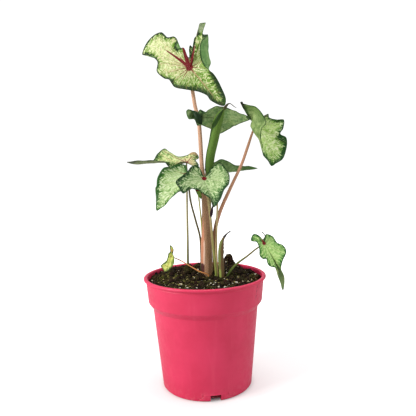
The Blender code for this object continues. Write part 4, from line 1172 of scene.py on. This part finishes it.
def in_box(places):
    """Points kept a hair inside the box of the plain solids, which ends at the outermost
    leaf edges."""
    low, high = (np.array(corner) / MM for corner in cad_box)
    return np.clip(places, low + 0.05, high - 0.05)


def leaf_piece(node, leaf, seed):
    """A blade as one closed skin: its face from the joint out to the rim and its back
    home again, thinning to a fine rim."""
    sheet, normals, flat = leaf_sheet(leaf)
    sheet = sheet + normals * quilted(flat, seed)[:, :, None]
    out = np.linspace(0, 1, BLADE_RINGS + 1)
    half = BLADE_HALF_THICKNESS * np.sqrt(1 - 0.97 * out**8)[:, None, None]
    face, back = sheet + normals * half, sheet - normals * half
    rings = in_box(np.concatenate([face[1:], back[:0:-1]]))
    spread = np.concatenate([flat[1:], flat[:0:-1]]).reshape(-1, 3)
    spread = np.vstack([spread, flat[0, :1], flat[0, :1]])
    bands = [0] * BLADE_RINGS + [1] * (BLADE_RINGS - 1)
    return skin(
        node.replace("blade", "leaf"), rings, face[0, 0], back[0, 0],
        leaf_materials(node, leaf, seed), bands, {"flat": spread})


for number, (name, leaf) in enumerate(LEAVES.items()):
    piece = leaf_piece(name, leaf, number)
    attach(piece, "root")
    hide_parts(name)


# Stalks: round, slightly fleshy leaf stalks, smooth with fine lengthwise lines, tan and
# pink above and olive near the soil. Each grows into the underside of its blade.
STALK_LEADS = (0.1, 1.2, 3.5)
STALK_AROUND = 20
STEM_FOOT = 86.0
STALKS = {
    "stalk_2": {
        "blade": "blade_2",
        "route": (
            (15.5, 1.5, 252), (12.5, 4.5, 238), (8.5, 7, 226), (4.8, 8.3, 213),
            (3.5, 9, 200), (2.5, 9.5, 180), (2.5, 9.5, 150), (2.5, 9.5, 112), (2.5, 9.5, 102)),
        "radii": (0.9, 1.2, 1.2, 1.2, 1.3, 1.3, 1.3, 1.3, 1.3),
        "tones": ((196, 180, 140), (176, 160, 112), (186, 170, 120)),
    },
    "stalk_3": {
        "blade": "blade_3",
        "route": (
            (50, 6, 246), (45, 6, 232), (39, 6, 216), (29, 6, 196), (18.5, 7, 174),
            (13.5, 8.5, 160), (10.5, 11, 145), (10, 12, 131), (10, 12, 112), (10, 12, 102)),
        "radii": (1.1, 1.4, 1.4, 1.6, 1.8, 1.9, 1.9, 1.9, 1.9, 1.9),
        "tones": ((206, 154, 122), (146, 108, 78), (186, 138, 108)),
    },
    "stalk_4": {
        "blade": "blade_4",
        "route": (
            (-15, 9.5, 210), (-15.5, 9.5, 195), (-16, 11, 172), (-16.5, 13.5, 140),
            (-17, 15, 118), (-17, 15, 102)),
        "radii": (0.8, 0.9, 1, 1.1, 1.2, 1.2),
        "tones": ((186, 178, 136), (108, 112, 52), (150, 140, 96)),
    },
    "stalk_5": {
        "blade": "blade_5",
        "route": (
            (-13.5, -1.5, 202), (-12, 1.5, 182), (-7.6, 3.8, 162), (-3.9, 5, 146),
            (-3.2, 5.4, 132), (-3.2, 5.4, 112), (-3.2, 5.4, 102)),
        "radii": (0.8, 0.9, 1, 1, 1, 1, 1),
        "tones": ((104, 98, 62), (78, 74, 44), (92, 80, 52)),
    },
    "stalk_6": {
        "blade": "blade_6",
        "route": (
            (2, -6, 199.5), (5, -4.8, 184), (7, -4.6, 165), (8.2, -5.5, 147),
            (9.3, -7, 133), (10.5, -8.7, 121), (11, -10, 112), (11, -10, 102)),
        "radii": (1, 1.1, 1.2, 1.2, 1.2, 1.2, 1.2, 1.2),
        "tones": ((172, 156, 108), (128, 142, 62), (150, 142, 84)),
    },
    "stalk_7": {
        "blade": "blade_7",
        "route": (
            (9.5, 14, 204), (11.5, 10, 197), (13.5, 4, 187), (14, 0, 175), (13, -1.7, 160),
            (12.3, -2.5, 145), (12, -3, 130), (12.3, -4.5, 112), (12.3, -4.5, 102)),
        "radii": (0.6, 0.9, 0.9, 0.9, 1, 1, 1, 1, 1),
        "tones": ((200, 184, 134), (200, 172, 124), (186, 156, 112)),
    },
    "stalk_8": {
        "blade": "blade_8",
        "route": (
            (55.5, -5, 136.5), (50, -5, 133), (42, -6, 127), (32, -6.5, 120),
            (25, -7, 113), (21.5, -7, 107), (21.5, -7, 102)),
        "radii": (0.7, 0.8, 0.9, 1, 1.1, 1.2, 1.2),
        "tones": ((122, 116, 66), (96, 140, 52), (104, 110, 56)),
    },
    "stalk_9": {
        "blade": "blade_9",
        "route": (
            (-31, 20, 122), (-25, 16.5, 120), (-17, 8, 117), (-10, 0, 114.5), (-5, -6, 113),
            (-0.5, -9.4, 112), (3.2, -10, 110.5), (4, -10, 107.5), (4, -10, 102)),
        "radii": (0.5, 0.6, 0.6, 0.6, 0.6, 0.6, 0.6, 0.6, 0.6),
        "tones": ((198, 134, 78), (176, 114, 56), (190, 132, 80)),
    },
    "stalk_10": {
        "blade": "blade_10",
        "route": (
            (-4.5, 9, 188), (-3, 9, 172), (-1.7, 8.8, 150), (-1.7, 8.6, 112),
            (-1.7, 8.6, 102)),
        "radii": (0.6, 0.7, 0.8, 0.8, 0.8),
        "tones": ((190, 190, 96), (160, 158, 84), (170, 170, 90)),
    },
}
SIDEWAYS = ("stalk_8", "stalk_9")


def stem_rows(stem, spacing=1.2):
    """A stem's (across, away, up, radius) along its smooth route, down into the soil."""
    rows = [tuple(place) + (radius,) for place, radius in zip(stem["route"], stem["radii"])]
    if stem.get("blade"):
        leaf = LEAVES[stem["blade"]]
        up = unit(leaf["upper_side"])
        starts = [np.array(leaf["joint"]) - up * lead for lead in STALK_LEADS]
        rows = [(*start, stem["radii"][0]) for start in starts] + rows
    last = rows[-1]
    rows.append((last[0], last[1], STEM_FOOT, last[3]))
    return smooth_curve(rows, spacing, closed=False)


def path_frames(path, beside):
    """Two directions square to a path at each point: the first is as near as can be to
    the given one, the second is square to both."""
    forward = unit(np.gradient(path, axis=0))
    guide = np.array(beside, float)
    side = unit(guide - (forward @ guide)[:, None] * forward)
    return side, np.cross(forward, side)


def stem_skin(name, rows, around, beside, material, unevenness=0.04, seed=0, form=None):
    """A closed tube along a path: each ring's radius varies with five seeded waves round
    and along it. The field stem holds cosine, sine and millimetres along. A form, given
    the turns and the path, returns a factor for the radius and further fields."""
    path, radius = rows[:, :3], rows[:, 3]
    side, front = path_frames(path, beside)
    turn = np.linspace(0, 2 * math.pi, around, endpoint=False)
    run = np.concatenate([[0], np.cumsum(np.linalg.norm(np.diff(path, axis=0), axis=1))])
    draw = np.random.default_rng(seed)
    waves = sum(
        np.sin(k * turn[None] + run[:, None] / draw.uniform(9, 30) + draw.uniform(0, 6.28))
        for k in (1, 2, 3, 5, 7)) / 2.5
    factor, fields = form(turn[None], path) if form else (1.0, {})
    reach = radius[:, None] * (1 + unevenness * waves) * factor
    rings = path[:, None] + reach[:, :, None] * (
        np.cos(turn)[None, :, None] * side[:, None] + np.sin(turn)[None, :, None] * front[:, None])
    rings = in_box(rings)
    stem = np.stack(np.broadcast_arrays(np.cos(turn)[None], np.sin(turn)[None], run[:, None]), 2)
    ends = np.array([(0, 0, run[0]), (0, 0, run[-1])])
    given = {"stem": np.vstack([stem.reshape(-1, 3), ends])}
    for field, values in fields.items():
        values = np.broadcast_to(values, reach.shape)
        given[field] = np.concatenate([values.ravel(), [0.0, 0.0]])
    return skin(name, rings, path[0], path[-1], [material], None, given)


def stalk_lines_group():
    """Skin of a stalk: one colour above and another below, fine lengthwise lines, a
    flush of pink on one side and small dark flecks."""
    group = bpy.data.node_groups.new("stalk_lines", "ShaderNodeTree")
    face = group.interface
    for name, kind in (
            ("Stem", "NodeSocketVector"), ("Upper", "NodeSocketColor"),
            ("Lower", "NodeSocketColor"), ("Flush", "NodeSocketColor"),
            ("Turnover", "NodeSocketFloat"), ("Fineness", "NodeSocketFloat"),
            ("Seed", "NodeSocketFloat")):
        face.new_socket(name, in_out="INPUT", socket_type=kind)
    for name, kind in (("Color", "NodeSocketColor"), ("Height", "NodeSocketFloat")):
        face.new_socket(name, in_out="OUTPUT", socket_type=kind)
    given = group.nodes.new("NodeGroupInput").outputs
    result = group.nodes.new("NodeGroupOutput").inputs
    parts = add_node(group, "ShaderNodeSeparateXYZ", Vector=given["Stem"]).outputs
    lengthwise = add_node(
        group, "ShaderNodeVectorMath", {"operation": "MULTIPLY_ADD"}, input_0=given["Stem"],
        input_1=(3.2, 3.2, 0.035), input_2=given["Seed"]).outputs[0]
    lines = grain(group, lengthwise, sums(group, "MULTIPLY", given["Fineness"], 1.5), 4.0)
    speckle = add_node(
        group, "ShaderNodeVectorMath", {"operation": "MULTIPLY_ADD"}, input_0=given["Stem"],
        input_1=(4.0, 4.0, 0.9), input_2=given["Seed"]).outputs[0]
    speckle = grain(group, speckle, sums(group, "MULTIPLY", given["Fineness"], 1.3), 2.0)
    blotch = add_node(
        group, "ShaderNodeVectorMath", {"operation": "MULTIPLY_ADD"}, input_0=given["Stem"],
        input_1=(0.8, 0.8, 0.09), input_2=given["Seed"]).outputs[0]
    cloud = grain(group, blotch, 1.0, 3.0)
    wander = sums(group, "MULTIPLY_ADD", cloud, 40.0, parts["Z"])
    low = ramp(group, sums(group, "SUBTRACT", wander, given["Turnover"]), -5.0, 45.0)
    tone = blend(group, low, given["Upper"], given["Lower"])
    tone = blend(group, ramp(group, cloud, 0.45, 0.7, 0.0, 0.45), tone, given["Flush"])
    dark = blend(group, 1.0, tone, (0.5, 0.42, 0.36, 1.0), "MULTIPLY")
    light = blend(group, 1.0, tone, (1.5, 1.5, 1.6, 1.0), "MULTIPLY")
    tone = blend(group, ramp(group, lines, 0.55, 0.72, 0.0, 0.55), tone, dark)
    tone = blend(group, ramp(group, lines, 0.3, 0.45, 0.6, 0.0), tone, light)
    strong = ramp(group, given["Fineness"], 1.0, 2.0, 0.15, 0.8)
    darker = sums(group, "MULTIPLY", ramp(group, speckle, 0.5, 0.6), strong)
    tone = blend(group, darker, tone, dark)
    paler = sums(group, "MULTIPLY", ramp(group, speckle, 0.38, 0.48, 1.0, 0.0), strong)
    tone = blend(group, paler, tone, light)
    group.links.new(tone, result["Color"])
    group.links.new(lines, result["Height"])
    return group


stalk_lines = stalk_lines_group()


def stalk_material(
        name, upper, lower, flush=(186, 128, 108), turnover=60.0, seed=0.0, fields=None,
        fineness=1.0):
    """A stalk's finish: satin skin in its own two colours. Fields of the mesh, from 0 to
    1, lay further screen colours over it."""
    material, shader = new_material(name)
    tree = material.node_tree
    stem = add_node(tree, "ShaderNodeAttribute", {"attribute_name": "stem"}).outputs["Vector"]
    group = add_node(
        tree, "ShaderNodeGroup", {"node_tree": stalk_lines}, Stem=stem, Upper=colour(*upper),
        Lower=colour(*lower), Flush=colour(*flush), Turnover=turnover, Fineness=fineness,
        Seed=seed)
    tone = group.outputs["Color"]
    for field, overlay in (fields or {}).items():
        share = add_node(tree, "ShaderNodeAttribute", {"attribute_name": field}).outputs["Fac"]
        worn = sums(tree, "MULTIPLY_ADD", group.outputs["Height"], 0.8, share)
        share = sums(tree, "MULTIPLY", ramp(tree, worn, 0.65, 1.05), 0.9)
        tone = blend(tree, share, tone, colour(*overlay))
    tree.links.new(tone, shader.inputs["Base Color"])
    shader.inputs["Roughness"].default_value = 0.5
    shader.inputs["Specular IOR Level"].default_value = 0.2
    set_bump(tree, shader, group.outputs["Height"], 0.0002)
    return material


for number, (name, stem) in enumerate(STALKS.items()):
    beside = (0, 1, 0) if name in SIDEWAYS else (1, 0, 0)
    rows = stem_rows(stem)
    finish = stalk_material(
        f"{name}_skin", *stem["tones"], turnover=len(rows) * 0.7, seed=number * 3.7)
    piece = stem_skin(
        name.replace("stalk", "leaf_stalk"), rows, STALK_AROUND, beside, finish, seed=number)
    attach(piece, "root")
    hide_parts(name)


# Crown stem: the bases of the older leaves wrap each other into one thick false stem,
# and the top leaf's long stalk rises out of it. Tan brown, finely striped, with the
# peach-coloured peel of an older sheath on its left side, a painted highlight along the
# peel's curled edge, and a purple foot.
CROWN = {
    "blade": "blade_1",
    "route": (
        (-9, 4, 299), (-7, 5, 287), (-5, 4, 273), (-2, 3, 259), (-1, 3, 245),
        (-0.5, 3, 231), (0, 3, 216), (1, 3, 204), (2, 2.5, 189), (2.5, 2, 157),
        (2.3, 1.5, 138), (2.2, 0.5, 121), (2.5, -1, 108), (2.5, -1, 102)),
    "radii": (1.5, 1.8, 1.9, 1.95, 2, 2, 2, 2.2, 3.0, 3.8, 4.7, 4.9, 4.2, 4),
}
# Overlapping sheaths: where each one's edge lies at the foot (degrees round from the
# right by the front), how far round it reaches there, and the height where it ends.
SHEATHS = ((60.0, 150.0, 196.0), (200.0, 170.0, 176.0), (110.0, 130.0, 168.0), (330.0, 110.0, 150.0))
PEEL = (122.0, 100.0, 104.0, 170.0)


def smooth_step(values, low, high):
    """Nought below low, one above high and a smooth rise between."""
    share = np.clip((values - low) / (high - low), 0, 1)
    return share * share * (3 - 2 * share)


def round_from(turn, start):
    """How far round, in degrees from nought to 360, a turn lies past a start."""
    return (np.degrees(turn) - start) % 360


def crown_form(turn, path):
    """Each sheath raises the stem by 0.07 of its radius over a sector that narrows to
    nothing at the sheath's top. The peel is such a sector on the left, with a curled edge
    that carries a painted highlight; below it the foot is purple."""
    height = path[:, 2][:, None]
    factor = 1.0
    for start, wide, top in SHEATHS:
        left = np.sqrt(np.clip((top - height) / (top - 108.0), 0, 1))
        past = round_from(turn, start + 40 * (1 - left))
        sector = smooth_step(past, 0, 9) * (1 - smooth_step(past, wide * left, wide * left + 9))
        factor = factor + 0.055 * sector * (left > 0)
    start, wide, foot, top = PEEL
    inside = smooth_step(height, foot, foot + 10) * (1 - smooth_step(height, top - 50, top))
    reach = wide * inside
    past = round_from(turn, start - 14 * np.sin((height - foot) / 19.0))
    peel = smooth_step(past, 0, 8) * (1 - smooth_step(past, reach, reach + 10)) * (inside > 0.02)
    middle = smooth_step(height, 116, 122) * (1 - smooth_step(height, 138, 150))
    # The lip is the peel's raised curled edge; its pale colour is a painted highlight.
    lip = smooth_step(past, 352, 360) + 1 - smooth_step(past, 8, 17)
    purple = smooth_step(past, 2, 10) * (1 - smooth_step(past, 115, 130))
    purple = purple * (1 - smooth_step(height, 117, 122))
    factor = factor + 0.06 * peel + 0.07 * lip * middle * inside + 0.08 * purple
    return factor, {"peel": peel, "painted_highlight_edge": lip * middle * inside, "purple": purple}


crown_rows = stem_rows(CROWN)
crown_skin = stalk_material(
    "crown_skin", (210, 166, 136), (164, 128, 96), (176, 136, 108), turnover=100.0, seed=31.0,
    fields={"peel": (200, 136, 104), "painted_highlight_edge": (238, 204, 180), "purple": (46, 8, 26)},
    fineness=2.0)
crown = stem_skin(
    "crown_stem_skin", crown_rows, 96, (1, 0, 0), crown_skin, 0.02, seed=31, form=crown_form)
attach(crown, "root")
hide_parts("crown_stem")


# Rolled leaf: a young leaf still rolled into a tube round itself, its free edge lying
# over on the left, on its own slim stalk. Smooth mid green; the dark flap near the top and
# the dark line along the free edge are painted shade.
ROLLED = {
    "route": (
        (22, -15, 267.5), (20.5, -13.5, 265), (18, -11.5, 260), (15, -7.5, 251),
        (12, -4, 238), (9, -1, 226), (7.2, 2.8, 213), (7, 5.5, 200), (6.8, 7, 184),
        (6.5, 8, 167), (6.5, 8, 140), (6.5, 8, 112), (6.5, 8, 102)),
    "radii": (0.5, 2.2, 4.1, 4.7, 4.4, 4.3, 4.0, 2.4, 1.7, 1.5, 1.5, 1.5, 1.5),
}
ROLL_FOOT = 200.0
ROLL_STEP = 0.16


def roll_form(turn, path):
    """The cross-section is a spiral: just past the free edge the radius is greatest and
    it shrinks evenly all the way round, ending in a short step. The free edge climbs
    from the left to the front. Below the blade the section is round."""
    height = path[:, 2][:, None]
    blade = smooth_step(height, ROLL_FOOT, ROLL_FOOT + 14)
    edge = 176 - 70 * smooth_step(height, 236, 268)
    past = round_from(turn, edge)
    share = past / 360
    step = smooth_step(past, 0, 7)
    factor = 1 - ROLL_STEP * blade * (1 - step * (1 - share)) + 0.35 * ROLL_STEP * blade
    # Painted shade: the flap marks the shadowed underside of the overlapping roll near the top, and the rim
    # a dark line along the free edge.
    flap_shade = (1 - smooth_step(past, 16, 42)) * smooth_step(height, 246, 256)
    flap_shade = np.maximum(flap_shade, smooth_step(past, 320, 345) * smooth_step(height, 246, 256))
    rim = (smooth_step(past, 348, 360) + 1 - smooth_step(past, 6, 16)) * blade
    stalk = 1 - blade
    return factor, {"flap_shade": flap_shade, "rim": 0.8 * rim, "stalk": stalk}


rolled_skin = stalk_material(
    "rolled_leaf_skin", (88, 120, 44), (66, 98, 34), (76, 106, 38), turnover=50.0, seed=7.0,
    fields={"flap_shade": (22, 50, 4), "rim": (34, 66, 14), "stalk": (150, 140, 90)}, fineness=1.4)
rolled = stem_skin(
    "rolled_young_leaf", stem_rows(ROLLED), 72, (1, 0, 0), rolled_skin, 0.02, seed=8,
    form=roll_form)
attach(rolled, "root")
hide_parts("rolled_leaf")


# Sheath: a pointed, half dried leaf sheath beside the stem, green on its left side and
# brown and ragged on its right, drawn out into a black thread at its tip.
SPEAR = {
    "route": (
        (26, -7, 152), (22, -7, 149), (19, -7, 145), (17.2, -7.3, 140), (16.4, -8, 132),
        (16.2, -9, 122), (16.6, -10.5, 112), (16.6, -10.5, 102)),
    "radii": (0.35, 0.4, 1.1, 2.3, 2.9, 2.9, 2.5, 2.2),
}


def spear_form(turn, path):
    """A keel and a fold run down the sheath, and its brown side is ragged: notches a few
    millimetres apart, as high waves cut off at nought. The tip above is black."""
    height = path[:, 2][:, None]
    right = np.sin(turn)
    brown = smooth_step(right + 0.12 * np.sin(height / 2.3), -0.4, 0.2)
    body = 1 - smooth_step(height, 138, 146)
    notches = np.clip(np.sin(height * 1.1 + 3 * np.sin(height / 3.1)), 0.2, 1) - 0.2
    ragged = smooth_step(right, 0.6, 0.95) * notches * smooth_step(height, 120, 128)
    fold = np.exp(-((round_from(turn, 55) - 20) / 9) ** 2)
    black = smooth_step(height, 144.5, 147.5)
    factor = 1 - 0.22 * ragged * body - 0.1 * fold * body + 0.8 * black
    green = (1 - brown) * (1 - smooth_step(height, 141, 146))
    green = green * (0.45 + 0.55 * smooth_step(height, 116, 126))
    base = smooth_step(-right, 0.2, 0.5) * (1 - smooth_step(height, 113, 118))
    return factor, {
        "green": green, "brown": brown * 0.9, "base": base, "black": black * np.ones_like(turn)}


spear_skin = stalk_material(
    "spear_skin", (112, 100, 60), (118, 104, 60), (100, 78, 48), turnover=40.0, seed=5.0,
    fields={
        "green": (112, 124, 62), "brown": (104, 82, 52), "base": (144, 160, 76),
        "black": (24, 18, 18)},
    fineness=1.6)
spear = stem_skin(
    "pointed_sheath", stem_rows(SPEAR), 56, (0, 1, 0), spear_skin, 0.04, seed=5,
    form=spear_form)
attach(spear, "root")
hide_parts("sheath_spear")


# Threads: withered scraps that hang on the leaves, a fraction of a millimetre to two
# millimetres thick: dried leaf tips, the knob on a curled corner, a drip of dark sap
# and the thread in a leaf's notch. Each starts inside the leaf that carries it.
THREADS = {
    # The curled lobe's dark green is partly its own upper side and partly painted shade.
    "curled_lobe": ("leaf_blade", (20, 56, 16), (
        (-6.6, -12.5, 266.6, 0.5), (-5.0, -13.0, 264.6, 2.2), (-3.2, -13.5, 261.6, 3.1),
        (-1.8, -13.5, 258.6, 3.3), (-0.4, -13.0, 256.2, 2.7), (0.8, -12.5, 254.0, 0.8))),
    "curled_corner": ("leaf_blade", (44, 50, 26), (
        (42.6, -10.5, 266.0, 0.5), (40.9, -10.5, 269.4, 0.4), (39.6, -10.5, 271.6, 0.8),
        (39.0, -10.5, 272.8, 1.5), (38.0, -10.5, 272.6, 1.3))),
    "withered_tip": ("leaf_blade", (92, 88, 56), (
        (22.0, -9.5, 267.5, 1.5), (24.4, -9.5, 270.6, 1.3), (26.6, -9.5, 272.6, 0.7),
        (28.6, -9.5, 272.6, 0.4), (31.6, -9.5, 270.2, 0.35), (34.2, -9.5, 268.6, 0.2))),
    "dry_stub": ("leaf_blade", (128, 140, 96), (
        (57.6, 1.5, 256.0, 0.9), (60.0, 1.5, 259.4, 1.0), (62.4, 1.5, 261.4, 1.2),
        (64.6, 1.5, 262.2, 1.0))),
    "dark_drip": ("leaf_blade", (38, 4, 24), (
        (9.6, -33.2, 179.8, 0.5), (8.9, -33.2, 177.4, 0.8), (8.1, -33.2, 173.6, 1.4),
        (7.6, -33.2, 170.6, 1.2), (7.4, -33.2, 168.6, 0.3))),
    "notch_thread": ("leaf_blade", (58, 74, 40), (
        (58.3, -9.3, 141.0, 0.5), (58.9, -8.6, 144.4, 0.45), (59.0, -8.3, 146.9, 0.4),
        (57.9, -8.3, 149.0, 0.45), (56.2, -8.3, 150.3, 0.6))),
}
for number, (name, (slot, tone, rows)) in enumerate(THREADS.items()):
    rows = smooth_curve(rows, 0.5, closed=False)
    darker = tuple(0.7 * value for value in tone)
    finish = stalk_material(f"{name}_skin", tone, darker, darker, 4.0, seed=50.0 + number)
    piece = stem_skin(name, rows, 10, (0, 1, 0), finish, 0.08, seed=60 + number)
    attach(piece, "root")
